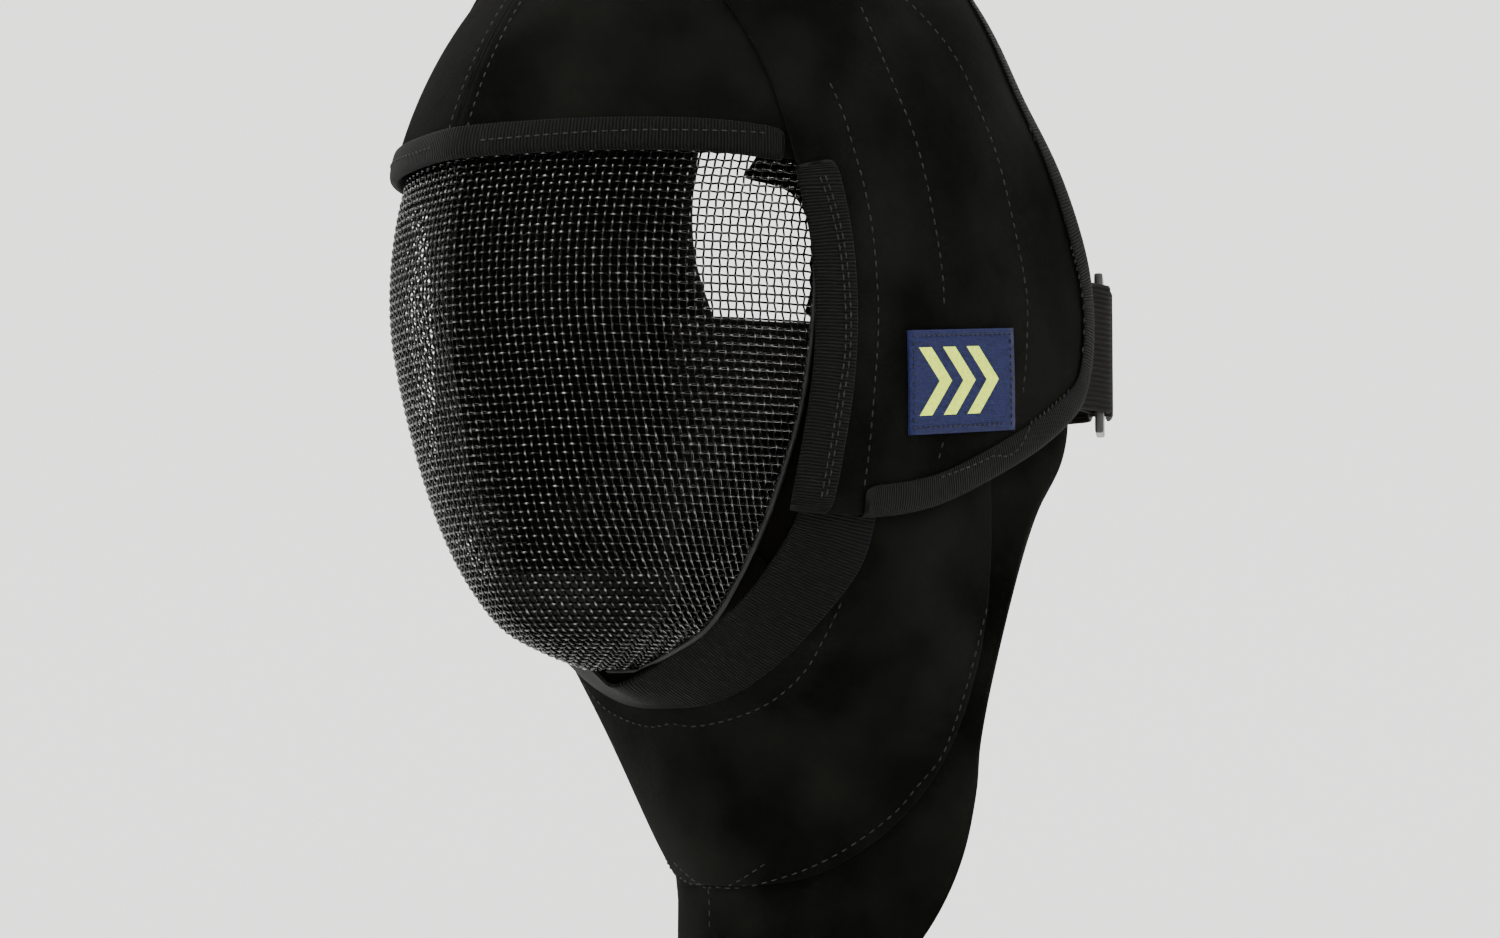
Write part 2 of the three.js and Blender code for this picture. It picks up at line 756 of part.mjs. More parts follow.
// Drop of the forehead's rim at a bearing: level in front, lower beside the temple
function rimDrop(bearing) {
  return foreheadDrop + foreheadDip * THREE.MathUtils.smoothstep(Math.abs(bearing), 0.7, 1.15);
}

function foreheadGrid(side) {
  const rim = [];
  const sideEdge = hoodEdge(overlapRows, side, 12, foreheadTuck);
  const end = bearingOfSetback(foreheadDrop, sideEdge[12].y);
  const count = 12;
  for (let i = 0; i <= count; i += 1) {
    const bearing = (end * i) / count;
    rim.push(hoodAtLevel(rimDrop(bearing), bearing, side));
  }
  rim[0].x = (side * seamGap) / 2;
  sideEdge[12].copy(rim[count]);
  const lowerSide = sideEdge.slice(6).reverse();
  const upperSide = sideEdge.slice(0, 7);
  const seam = [];
  for (let i = 0; i <= 6; i += 1) {
    const lift = Math.PI / 2 * (i / 6);
    const front = rim[0].y + foreheadRise(rim[0]);
    seam.push(hoodAtTop(THREE.MathUtils.lerp(front, sideEdge[0].y, 1 - Math.cos(lift)), side));
  }
  seam[0] = rim[0];
  seam[6] = sideEdge[0];
  const north = [];
  for (let i = 0; i <= count; i += 1) {
    const place = (i / count) * 6;
    const k = Math.min(Math.floor(place), 5);
    north.push(upperSide[k].clone().lerp(upperSide[k + 1], place - k));
  }
  const grid = coons(rim, north, seam, lowerSide);
  return grid.map((row, j) => row.map((p, i) => {
    const onEdge = i === 0 || j === 0 || i === row.length - 1;
    return onEdge ? p : toHood(p);
  }));
}

function buildForehead() {
  const low = -(tuckClearance + foreheadThickness);
  const grids = { left: foreheadGrid(1), right: foreheadGrid(-1) };
  const pieces = Object.entries(grids).map(([hand, grid]) => piece(`forehead_panel_${hand}`,
    hoodLayer(grid, low, -tuckClearance), 'leather'));
  const startSetback = overlapRows[overlapRows.length - 1].setback * hoodFrontReach;
  const end = bearingOfSetback(foreheadDrop, startSetback - bindingThickness - foreheadBindingWidth * 0.2);
  const step = bearingOfSetback(foreheadDrop, grids.left[0][12].y) / 12;
  const bearings = [];
  for (let i = 0; i * step < end; i += 1) bearings.push(i * step);
  bearings.push(end);
  const signed = [...bearings.slice(1).reverse().map((b) => -b), ...bearings];
  const edge = signed.map((b) => hoodAtLevel(rimDrop(b), Math.abs(b), Math.sign(b)));
  const inside = signed.map((b) => hoodAtLevel(rimDrop(b) - foreheadBindingWidth, Math.abs(b), Math.sign(b)));
  pieces.push(piece('forehead_binding',
    foldedBinding(edge, inside, low, -tuckClearance, foreheadBindingWidth), 'tape'));
  return pieces;
}

// Point that a jaw row gives on one side
function jawPoint(row, side, width, depth) {
  return new THREE.Vector3(side * row.across * width, -row.ahead * rimSetback, -row.drop * depth);
}

// Smooth curve through a jaw table on one side
function jawCurve(rows, side, count, width, depth) {
  const points = rows.map((row) => jawPoint(row, side, width, depth));
  return new THREE.CatmullRomCurve3(points, false, 'centripetal').getSpacedPoints(count);
}

// Curve over both sides, from the right cheek through the chin to the left cheek
function bothSides(rows, count, width, depth) {
  const right = jawCurve(rows, -1, count, width, depth).reverse();
  const left = jawCurve(rows, 1, count, width, depth);
  return [...right, ...left.slice(1)];
}

function buildChinTape() {
  const top = bothSides(tapeTopRows, 12, hoodHalfWidth, chinDrop);
  const low = bothSides(tapeLowRows, 12, hoodHalfWidth, chinDrop);
  const crown = 1.5;
  const rings = top.map((point, i) => {
    const before = top[Math.max(i - 1, 0)];
    const after = top[Math.min(i + 1, top.length - 1)];
    const along = after.clone().sub(before);
    const down = low[i].clone().sub(point);
    const out = down.clone().cross(along).normalize();
    const middle = point.clone().lerp(low[i], 0.5).addScaledVector(out, crown);
    const sunk = (p) => p.clone().addScaledVector(out, -chinTapeThickness);
    return [point, middle, low[i], sunk(low[i]), sunk(middle), sunk(point)];
  });
  return [piece('chin_tape', sweep(rings), 'tape')];
}

function buildEdgeStrips() {
  return [1, -1].map((side) => {
    const count = 16;
    const outer = jawCurve(stripRows, side, count, hoodHalfWidth, chinDrop);
    const from = 0.1;
    const to = 0.74;
    const rings = outer.map((point, i) => {
      const along = THREE.MathUtils.lerp(from, to, i / count);
      const rim = facePoint(along, side);
      const ahead = facePoint(along + 0.02, side);
      const across = point.clone().sub(rim);
      const out = across.clone().cross(ahead.sub(rim)).normalize().multiplyScalar(-side);
      const start = rim.clone().addScaledVector(across.normalize(), clearance * 3);
      const lift = out.multiplyScalar(edgeStripThickness);
      return [start, point.clone(), point.clone().sub(lift), start.clone().sub(lift)];
    });
    return piece(side > 0 ? 'mesh_edge_strip_left' : 'mesh_edge_strip_right', sweep(rings), 'leather');
  });
}

// Grid of half a bib, from the chin to the cheek across and from top to bottom down
function bibUpperHalf() {
  const low = tapeLowRows.map((row) => jawPoint(row, 1, hoodHalfWidth, chinDrop));
  const high = tapeTopRows.map((row) => jawPoint(row, 1, hoodHalfWidth, chinDrop));
  const besideTape = (tuck, lift) => {
    const points = low.map((p, i) => {
      const after = low[Math.min(i + 1, low.length - 1)].clone();
      const along = i === 0 ? new THREE.Vector3(1, 0, 0) : after.sub(low[i - 1]);
      const up = high[i].clone().sub(p).normalize();
      const inward = up.clone().cross(along).normalize();
      return p.clone().addScaledVector(up, tuck).addScaledVector(inward, chinTapeThickness + clearance * 3);
    });
    for (const row of bibTopEnd) points.push(jawPoint(row, 1, bibHalfWidth, chinDrop).add(lift));
    return new THREE.CatmullRomCurve3(points, false, 'centripetal').getSpacedPoints(12);
  };
  const tucked = besideTape(bibTuck, new THREE.Vector3(0, 0, bibTuck / 2));
  const top = besideTape(-tuckClearance, new THREE.Vector3());
  const seam = jawCurve(bibSeamRows, 1, 12, bibHalfWidth, bibSeamDrop);
  const rows = 7;
  const lead = (from, to) => {
    const points = [];
    for (let j = 0; j <= rows; j += 1) points.push(from.clone().lerp(to, j / rows));
    return points;
  };
  const grid = coons(top, seam, lead(top[0], seam[0]), lead(top[12], seam[12]));
  return [tucked, ...offsetGrid(grid, (u, v) => -bibBulge * Math.sin(Math.PI * v) ** 0.7 * (1 - 0.6 * u))];
}

// Whole grid from a half, mirrored over the middle
function mirrored(half) {
  return half.map((row) => {
    const flipped = row.slice(1).reverse().map((p) => new THREE.Vector3(-p.x, p.y, p.z));
    return [...flipped, row[0].clone().setX(0), ...row.slice(1)];
  });
}

// How much of the wrap round the neck a column of the bib takes, counted from the middle
function wrapShare(column) {
  return THREE.MathUtils.smoothstep(column, 5, 9);
}

// Free edge of the lower bib's half, carried on round the side of the neck
function wrappedEdge(half) {
  return half.map((p, i) => {
    const share = wrapShare(i);
    return new THREE.Vector3(p.x * (1 - bibWrapShare * share), p.y + bibWrapReach * share, p.z);
  });
}

// Curve from the seam straight back, out through the edge and round to the end; straight where there is no wrap
function wrapCurve(start, through, end, share) {
  const back = start.clone().setY(start.y + bibWrapStraight);
  const out = through.clone().multiplyScalar(8).sub(start).sub(end).addScaledVector(back, -3).divideScalar(3);
  const first = start.clone().lerp(end, 1 / 3).lerp(back, share);
  const second = start.clone().lerp(end, 2 / 3).lerp(out, share);
  return new THREE.CubicBezierCurve3(start, first, second, end);
}

function buildBib() {
  const upperHalf = bibUpperHalf();
  const upper = mirrored(upperHalf);
  const under = offsetGrid(upper, bibThickness + bibLayerGap);
  const start = 3;
  const covered = under.slice(start);
  const edgeHalf = jawCurve(bibEdgeRows, 1, 12, bibHalfWidth, bibDrop);
  const edge = mirrored([edgeHalf])[0];
  const seam = under[under.length - 1];
  const end = mirrored([wrappedEdge(edgeHalf)])[0];
  const rows = 6;
  const lower = [...covered];
  for (let j = 1; j <= rows; j += 1) {
    lower.push(seam.map((p, i) => {
      const curve = wrapCurve(p, edge[i], end[i], wrapShare(Math.abs(i - 12)));
      return curve.getPoint(j / rows);
    }));
  }
  return [
    piece('bib_upper', sheet(offsetGrid(upper, bibThickness), upper), 'leather'),
    piece('bib_lower', sheet(offsetGrid(lower, bibThickness), lower), 'leather'),
  ];
}

// Point of the hood form in the plane at x, at an elevation from its widest level, towards the back
function hoodAtProfile(x, elevation) {
  const y = Math.cos(elevation);
  const z = Math.sin(elevation);
  let low = 0;
  let high = hoodRearReach * 1.5;
  for (let i = 0; i < 40; i += 1) {
    const middle = (low + high) / 2;
    if (hoodLevel(x, y * middle, z * middle - widestDrop) < 1) low = middle;
    else high = middle;
  }
  return new THREE.Vector3(x, y * low, z * low - widestDrop);
}

function buildTongue() {
  const columns = 10;
  const rows = tongueHalfWidths.length - 1;
  const grid = [];
  for (let j = 0; j <= rows; j += 1) {
    const row = [];
    for (let i = 0; i <= columns; i += 1) {
      const share = (2 * i) / columns - 1;
      const top = THREE.MathUtils.degToRad(64 - 14 * share * share);
      const bottom = THREE.MathUtils.degToRad(-9 + 7 * share ** 4);
      const elevation = THREE.MathUtils.lerp(top, bottom, j / rows);
      const p = hoodAtProfile(share * tongueHalfWidths[j], elevation);
      const fade = THREE.MathUtils.smoothstep(j / rows, 0.15, 0.7);
      const inset = tongueInset + tongueEdgeInset * share * share * fade;
      row.push(p.addScaledVector(hoodNormal(p), -inset));
    }
    grid.push(row);
  }
  return [piece('back_tongue', sheet(offsetGrid(grid, -tongueThickness), grid), 'leather')];
}

// Upright band along a path in plan, its thickness centred on the path
function ribbon(path, thickness, top, height) {
  const side = path.map((p, i) => {
    const before = path[Math.max(i - 1, 0)];
    const after = path[Math.min(i + 1, path.length - 1)];
    return new THREE.Vector2(after.y - before.y, before.x - after.x).normalize();
  });
  const layer = (sign) => [top, top - height].map((z) => path.map((p, i) => new THREE.Vector3(
    p.x + (sign * side[i].x * thickness) / 2, p.y + (sign * side[i].y * thickness) / 2, z)));
  return sheet(layer(-1), layer(1));
}

// Buckle's own directions in plan: along from the front bar to the rear bar, out away from the head
const buckleAlong = new THREE.Vector2(-Math.sin(THREE.MathUtils.degToRad(buckleTurn)),
  Math.cos(THREE.MathUtils.degToRad(buckleTurn)));
const buckleOut = new THREE.Vector2(buckleAlong.y, -buckleAlong.x);
const buckleCentre = new THREE.Vector2(buckleOffset, buckleSetback);
const barTravel = (buckleWidth - buckleBar) / 2;
const loopRadius = Math.hypot(buckleBar / 2, buckleThickness / 2) + clearance * 2 + webbingThickness / 2;

function besideBuckle(along, out) {
  return buckleCentre.clone().addScaledVector(buckleAlong, along).addScaledVector(buckleOut, out);
}

// Half turn of webbing round a bar: sense is 1 round the rear bar's front, -1 round the front bar's rear
function turnRound(barAlong, sense) {
  const points = [];
  for (let i = 0; i <= 8; i += 1) {
    const angle = -Math.PI / 2 + (Math.PI * i) / 8;
    points.push(besideBuckle(barAlong - sense * loopRadius * Math.cos(angle), loopRadius * Math.sin(angle)));
  }
  return points;
}

// Plate of rectangular cells in its own plane, with some cells left open
function slottedPlate(alongs, ups, isOpen, thickness) {
  const columns = alongs.length;
  const layerSize = columns * ups.length;
  const points = [];
  for (const out of [-thickness / 2, thickness / 2]) {
    for (const up of ups) for (const along of alongs) points.push(new THREE.Vector3(along, up, out));
  }
  const at = (layer, j, i) => layer * layerSize + j * columns + i;
  const inside = (j, i) => j >= 0 && i >= 0 && j < ups.length - 1 && i < columns - 1;
  const filled = (j, i) => inside(j, i) && !isOpen(j, i);
  const faces = [];
  for (let j = 0; j < ups.length - 1; j += 1) {
    for (let i = 0; i < columns - 1; i += 1) {
      if (!filled(j, i)) continue;
      faces.push([at(1, j, i), at(1, j, i + 1), at(1, j + 1, i + 1), at(1, j + 1, i)]);
      faces.push([at(0, j, i), at(0, j + 1, i), at(0, j + 1, i + 1), at(0, j, i + 1)]);
      if (!filled(j - 1, i)) faces.push([at(0, j, i), at(0, j, i + 1), at(1, j, i + 1), at(1, j, i)]);
      if (!filled(j + 1, i)) {
        faces.push([at(0, j + 1, i), at(1, j + 1, i), at(1, j + 1, i + 1), at(0, j + 1, i + 1)]);
      }
      if (!filled(j, i - 1)) faces.push([at(0, j, i), at(1, j, i), at(1, j + 1, i), at(0, j + 1, i)]);
      if (!filled(j, i + 1)) {
        faces.push([at(0, j, i + 1), at(0, j + 1, i + 1), at(1, j + 1, i + 1), at(1, j, i + 1)]);
      }
    }
  }
  return solid(points, faces);
}

function buildBuckle() {
  const halfWidth = buckleWidth / 2;
  const halfHeight = buckleHeight / 2;
  const slotHalf = strapWidth / 2 + clearance;
  const slotNear = buckleBar / 2;
  const slotFar = halfWidth - buckleBar;
  const alongs = [-halfWidth, -slotFar, -slotNear, slotNear, slotFar, halfWidth];
  const ups = [-halfHeight - buckleFoot, -slotHalf, slotHalf, halfHeight];
  const isOpen = (j, i) => j === 1 && (i === 1 || i === 3);
  const mesh = piece('buckle', slottedPlate(alongs, ups, isOpen, buckleThickness), 'plastic');
  const along = new THREE.Vector3(buckleAlong.x, buckleAlong.y, 0);
  const up = new THREE.Vector3(0, 0, 1);
  const out = along.clone().cross(up);
  mesh.quaternion.setFromRotationMatrix(new THREE.Matrix4().makeBasis(along, up, out));
  mesh.position.set(buckleCentre.x, buckleCentre.y, -strapDrop);
  return [mesh];
}

function buildStrap() {
  const top = -strapDrop + strapWidth / 2;
  const round = strapRows.map((row) => new THREE.Vector3(row.across * hoodHalfWidth, row.back * strapReach, 0));
  const arrival = besideBuckle(barTravel + 22, -loopRadius * 0.9);
  round.push(new THREE.Vector3(arrival.x, arrival.y, 0));
  const curve = new THREE.CatmullRomCurve3(round, false, 'centripetal').getSpacedPoints(30);
  const path = curve.map((p) => new THREE.Vector2(p.x, p.y));
  path.push(...turnRound(barTravel, 1));
  path.push(besideBuckle(barTravel + 8, loopRadius), besideBuckle(barTravel + 22, loopRadius * 0.55));
  const underPanel = (setback, depth) => {
    const p = hoodAtSide(setback, strapDrop, 1);
    return new THREE.Vector2(p.x - depth, setback);
  };
  const outerDepth = bindingClearance + bindingThickness + clearance * 3 + webbingThickness / 2;
  const innerDepth = outerDepth + webbingThickness + clearance * 2;
  const rearEdge = hoodRearReach * 0.7;
  const tab = [
    underPanel(rearEdge * 0.62, innerDepth),
    underPanel(rearEdge * 0.92, innerDepth),
    ...turnRound(-barTravel, -1),
    underPanel(rearEdge * 0.98, outerDepth),
    underPanel(rearEdge * 0.66, outerDepth),
  ];
  return [
    piece('rear_strap', ribbon(path, webbingThickness, top, strapWidth), 'webbing'),
    piece('buckle_tab', ribbon(tab, webbingThickness, top, strapWidth), 'webbing'),
  ];
}

function buildLabel() {
  const grid = [];
  for (let j = 0; j <= 2; j += 1) {
    const row = [];
    for (let i = 0; i <= 4; i += 1) {
      const across = labelWidth * (i / 4 - 0.5);
      const down = labelHeight * (j / 2 - 0.5);
      const turn = THREE.MathUtils.degToRad(labelTilt);
      const setback = labelSetback + across * Math.cos(turn) + down * Math.sin(turn);
      const drop = labelDrop + down * Math.cos(turn) - across * Math.sin(turn);
      row.push(hoodAtSide(setback, drop, 1));
    }
    grid.push(row);
  }
  const low = panelThickness + clearance;
  return [piece('label', hoodLayer(grid, low, low + labelThickness), 'label')];
}

// Padding inside the jaw, along the inner side of the wire face
function buildChinPad() {
  const rows = [];
  const stations = 20;
  for (let i = 0; i <= stations; i += 1) {
    const turn = (2 * i) / stations - 1;
    const rings = [0.7, 0.8, 0.89].map((along) => facePoint(along, turn * 0.86));
    rows.push(rings);
  }
  const near = offsetGrid(rows, -(wireThickness + clearance + 1.2));
  const far = offsetGrid(rows, -(wireThickness + clearance + 1.2 + padThickness));
  return [piece('chin_pad', sheet(far, near), 'padding')];
}

const group = new THREE.Group();
group.add(...buildFaceMesh());
group.add(...buildEdgeStrips());
group.add(...buildForehead());
group.add(...buildSidePanels());
group.add(...buildSideBindings());
group.add(...buildChinTape());
group.add(...buildBib());
group.add(...buildTongue());
group.add(...buildStrap());
group.add(...buildBuckle());
group.add(...buildLabel());
group.add(...buildChinPad());

export default group;
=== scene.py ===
# %% [markdown]
# # A coach's fencing mask: wire face, suede hood, ribbed tapes and a long throat bib
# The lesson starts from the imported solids. They say where each piece lies, in metres, with +Z up,
# the face looking along -Y and the wearer's left at +X. Each piece could be modelled afresh, but
# then it could drift from its solid, so the cells below start from the frame and add the surface.

import math
import bpy
import bmesh
from mathutils import Matrix, Vector
from mathutils.bvhtree import BVHTree


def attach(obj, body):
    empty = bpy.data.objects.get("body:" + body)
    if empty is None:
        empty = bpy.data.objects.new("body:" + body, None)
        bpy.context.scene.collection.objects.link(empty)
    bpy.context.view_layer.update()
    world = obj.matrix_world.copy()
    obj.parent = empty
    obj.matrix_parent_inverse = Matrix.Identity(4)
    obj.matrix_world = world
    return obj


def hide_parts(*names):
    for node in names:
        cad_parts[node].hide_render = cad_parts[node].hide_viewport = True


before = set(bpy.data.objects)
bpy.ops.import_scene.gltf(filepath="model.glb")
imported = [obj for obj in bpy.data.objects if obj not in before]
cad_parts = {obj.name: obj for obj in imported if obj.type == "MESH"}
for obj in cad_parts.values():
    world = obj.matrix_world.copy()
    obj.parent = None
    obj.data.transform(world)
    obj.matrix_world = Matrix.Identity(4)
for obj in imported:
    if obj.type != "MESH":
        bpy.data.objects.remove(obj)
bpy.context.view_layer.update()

# %% [markdown]
# The camera stands where the photograph was taken from: 43 degrees to the wearer's left and a
# little below the face. It could be aimed by eye, but this one was fitted to edges of the mask in
# the photograph, so that stitch rows can be read along its rays. That is why it comes first.

# %% Camera
AIM = Vector((0.0091, 0.0085, -0.2334))
BEARING = math.radians(43)
CLIMB = math.radians(-4.5)
DISTANCE = 1.6
PIXELS_PER_METRE = 2600
PHOTO_WIDTH = 1500
PHOTO_MIDDLE = (750, 469)
SENSOR = 36
level = math.cos(CLIMB)
back = Vector((level * math.sin(BEARING), -level * math.cos(BEARING), math.sin(CLIMB)))
camera = bpy.data.objects.new("camera", bpy.data.cameras.new("camera"))
bpy.context.scene.collection.objects.link(camera)
camera.location = AIM + back * DISTANCE
camera.rotation_mode = "QUATERNION"
camera.rotation_quaternion = (-back).to_track_quat("-Z", "Y")
camera.data.lens = SENSOR * DISTANCE * PIXELS_PER_METRE / PHOTO_WIDTH
camera.data.sensor_width = SENSOR
bpy.context.scene.camera = camera
print("lens", round(camera.data.lens, 2), "mm")

# %% [markdown]
# Every finish is built from nodes: noise gives the pattern, a ramp turns it into colours and a bump
# turns it into small relief. Pictures could be wrapped round the pieces instead, but nodes need no
# unwrapping and stay sharp close up. The first helpers add one node at a time, and start a finish
# with its plain values.


# %% Node helpers
def node(tree, kind, **settings):
    made = tree.nodes.new("ShaderNode" + kind)
    for name, value in settings.items():
        setattr(made, name, value)
    return made


def maths(tree, kind, *values):
    """A Math node. Numbers are typed into its sockets and anything else is linked."""
    made = node(tree, "Math", operation=kind)
    for socket, value in zip(made.inputs, values):
        if isinstance(value, (int, float)):
            socket.default_value = value
        else:
            tree.links.new(value, socket)
    return made.outputs[0]


def start_finish(name, roughness, metallic=0.0, sheen=0.0, tint=(1, 1, 1, 1), gloss=0.5):
    material = bpy.data.materials.new(name)
    material.use_nodes = True
    shader = material.node_tree.nodes["Principled BSDF"]
    shader.inputs["Roughness"].default_value = roughness
    shader.inputs["Metallic"].default_value = metallic
    shader.inputs["Sheen Weight"].default_value = sheen
    shader.inputs["Specular IOR Level"].default_value = gloss
    shader.inputs["Sheen Roughness"].default_value = 0.45
    shader.inputs["Sheen Tint"].default_value = tint
    return material, material.node_tree, shader


print("node helpers ready")

# %% [markdown]
# Used leather, cloth and paint are uneven everywhere. Noise read at the object's own coordinates
# gives that without a seam. A ramp maps it to colours, and a bump tilts the light on it. Two bumps
# can be stacked, so that a fine nap lies on a broader grain.


# %% Noise, colour and relief
def noise(tree, scale, detail):
    place = node(tree, "TexCoord")
    made = node(tree, "TexNoise")
    made.inputs["Scale"].default_value = scale
    made.inputs["Detail"].default_value = detail
    tree.links.new(place.outputs["Object"], made.inputs["Vector"])
    return made.outputs["Fac"]


def ramp(tree, fac, stops):
    made = node(tree, "ValToRGB")
    elements = made.color_ramp.elements
    while len(elements) < len(stops):
        elements.new(0.5)
    for element, (place, colour) in zip(elements, stops):
        element.position = place
        element.color = (*colour, 1)
    tree.links.new(fac, made.inputs["Fac"])
    return made.outputs["Color"]


def paint(tree, shader, fac, stops):
    tree.links.new(ramp(tree, fac, stops), shader.inputs["Base Color"])


def bump(tree, height, distance, strength, below=None):
    made = node(tree, "Bump")
    made.inputs["Strength"].default_value = strength
    made.inputs["Distance"].default_value = distance
    tree.links.new(height, made.inputs["Height"])
    if below:
        tree.links.new(below, made.inputs["Normal"])
    return made.outputs["Normal"]


print("noise, colour and relief helpers ready")

# %% [markdown]
# The hood, the bib and the tongue are suede, which is matt and short-haired. One flat black would
# do from far away, but real suede is rubbed in patches. So a broad noise gives the patches, a fine
# one the nap, and a little sheen lifts the surface where it turns away.


# %% Suede
def suede(name, dark, light, sheen=0.02):
    material, tree, shader = start_finish(name, 0.82, sheen=sheen, tint=(0.8, 0.8, 0.78, 1), gloss=0)
    paint(tree, shader, noise(tree, scale=22, detail=9), [(0.38, dark), (0.66, light)])
    rough = node(tree, "MapRange")
    rough.inputs["To Min"].default_value = 0.74
    rough.inputs["To Max"].default_value = 0.95
    tree.links.new(noise(tree, scale=60, detail=3), rough.inputs["Value"])
    tree.links.new(rough.outputs["Result"], shader.inputs["Roughness"])
    nap = bump(tree, noise(tree, scale=1500, detail=2), distance=0.00025, strength=0.55)
    grain = bump(tree, noise(tree, scale=260, detail=5), distance=0.0006, strength=0.35, below=nap)
    tree.links.new(grain, shader.inputs["Normal"])
    return material


SUEDE = suede("black_suede", (0.0014, 0.00145, 0.0012), (0.004, 0.0041, 0.0034))
BIB_SUEDE = suede("bib_suede", (0.0016, 0.00165, 0.0013), (0.0046, 0.0047, 0.0039))
SMOOTH = suede("smooth_facing", (0.001, 0.001, 0.0007), (0.0022, 0.0021, 0.0015), 0.01)
PADDING = suede("jaw_padding", (0.008, 0.0085, 0.007), (0.018, 0.0185, 0.016))
print("suede finishes made")

# %% [markdown]
# The tapes are grosgrain: cords about a millimetre apart run across them, with fine threads between.
# Each cord could be modelled, at a high price in triangles. Here the pieces carry their measured
# length along the tape as an attribute, and a sine of that length makes the cords, round bends too.


# %% Ribbed tape and webbing
def ribbed(name, dark, light, pitch, depth):
    material, tree, shader = start_finish(name, 0.7, sheen=0.01, gloss=0.03)
    along = node(tree, "Attribute", attribute_name="along").outputs["Fac"]
    wave = maths(tree, "SINE", maths(tree, "MULTIPLY", along, math.tau / pitch))
    shade = node(tree, "MapRange")
    shade.inputs["From Min"].default_value = -1.0
    tree.links.new(wave, shade.inputs["Value"])
    cords = shade.outputs["Result"]
    # Painted shade and highlight: the ramp darkens the grooves between cords and lightens the cord
    # tops.
    paint(tree, shader, cords, [(0.15, dark), (0.85, light)])
    threads = bump(tree, noise(tree, scale=2200, detail=2), distance=0.0002, strength=0.4)
    relief = bump(tree, cords, distance=depth, strength=0.9, below=threads)
    tree.links.new(relief, shader.inputs["Normal"])
    return material


TAPE_GROOVE_SHADE = (0.0007, 0.00075, 0.00065)
TAPE = ribbed("ribbed_tape", TAPE_GROOVE_SHADE, (0.0046, 0.0047, 0.0042), pitch=0.00125, depth=0.0004)
WIDE_TAPE = ribbed("wide_ribbed_tape", TAPE_GROOVE_SHADE, (0.0031, 0.0032, 0.0028), pitch=0.0012,
                   depth=0.0003)
WEBBING = ribbed("strap_webbing", (0.0016, 0.0014, 0.0011), (0.0048, 0.0042, 0.0033), pitch=0.0021,
                 depth=0.0005)
print("tape finishes made")

# %% [markdown]
# The wire is black-painted steel. Light catches it where one wire rides over another, so every
# crossing shows a short bright dash, painted into the colour as a highlight, and the wire between
# is almost black. Noise alone would put the highlights anywhere. The wires carry a value named
# crown, highest on top of each crossing, and it places the painted highlight. Thread, plastic and
# rim are plain dark finishes.

# %% Wire, thread, plastic and rim
WIRE, tree, shader = start_finish("steel_wire_crown_highlights", 0.24, metallic=1.0)
crown = node(tree, "Attribute", attribute_name="crown").outputs["Fac"]
uneven = maths(tree, "MULTIPLY", noise(tree, scale=230, detail=3), 0.6)
# Painted highlight: the crown value makes the steel colour bright on top of every crossing. The
# noise adds uneven tone.
crown_highlight = maths(tree, "MULTIPLY_ADD", crown, 0.55, uneven)
paint(tree, shader, crown_highlight, [(0.5, (0.0025, 0.0025, 0.0023)), (0.72, (0.03, 0.03, 0.028)),
                          (0.92, (0.14, 0.14, 0.134))])
THREAD, tree, shader = start_finish("black_thread", 0.6, sheen=0.01, gloss=0.1)
paint(tree, shader, noise(tree, scale=900, detail=2),
      [(0.3, (0.006, 0.006, 0.0055)), (0.7, (0.016, 0.016, 0.015))])
PLASTIC, tree, shader = start_finish("buckle_plastic", 0.42, gloss=0.35)
paint(tree, shader, noise(tree, scale=90, detail=3),
      [(0.3, (0.006, 0.0055, 0.005)), (0.8, (0.016, 0.0155, 0.0145))])
moulded = bump(tree, noise(tree, scale=1400, detail=2), distance=0.0001, strength=0.3)
tree.links.new(moulded, shader.inputs["Normal"])
RIM, tree, shader = start_finish("black_rim", 0.5, gloss=0.15)
paint(tree, shader, noise(tree, scale=200, detail=3),
      [(0.3, (0.002, 0.002, 0.002)), (0.8, (0.008, 0.008, 0.0075))])
print("wire, thread, plastic and rim made")

# %% [markdown]
# The mask is one thing that moves as a whole, so every piece rides on the same body. Each piece
# gets its finish, and the solids it stands for are hidden. Writing that at every piece would be easy
# to forget, so one helper turns a finished mesh into a piece of the frame.


# %% A piece in the frame
def finish_piece(thing, bm, finish, stands_for=()):
    mesh = bpy.data.meshes.new(thing)
    bm.to_mesh(mesh)
    bm.free()
    made = bpy.data.objects.new(thing, mesh)
    bpy.context.scene.collection.objects.link(made)
    mesh.materials.append(finish)
    for face in mesh.polygons:
        face.use_smooth = True
    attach(made, "root")
    if stands_for:
        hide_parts(*stands_for)
    return made


print("pieces stand for", len(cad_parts), "solids")

# %% [markdown]
# Leather and tape bend softly between sharp cut edges. Sculpting them would lose the fit of the
# layers, so each starts from a merged copy of its solid. The triangles are paired back into quads,
# the cut edges are creased, and a subdivision surface draws the curves between them.

# %% Soft piece from a solid
CUT_EDGE = math.radians(50)


def merged_copy(source):
    bm = bmesh.new()
    bm.from_mesh(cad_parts[source].data)
    bmesh.ops.remove_doubles(bm, verts=bm.verts, dist=0.00002)
    bmesh.ops.join_triangles(bm, faces=bm.faces, angle_face_threshold=0.9, angle_shape_threshold=1.6)
    return bm


def soft_piece(thing, source, finish, levels=2, crease=0.0, measure=None):
    bm = merged_copy(source)
    if crease:
        layer = bm.edges.layers.float.new("crease_edge")
        for edge in bm.edges:
            if len(edge.link_faces) == 2 and edge.calc_face_angle() > CUT_EDGE:
                edge[layer] = crease
    if measure:
        layer = bm.verts.layers.float.new("along")
        for vert in bm.verts:
            vert[layer] = measure(vert.co)
    made = finish_piece(thing, bm, finish, (source,))
    surface = made.modifiers.new("surface", "SUBSURF")
    surface.levels = surface.render_levels = levels
    return made


print("edges over", round(math.degrees(CUT_EDGE)), "degrees stay sharp")
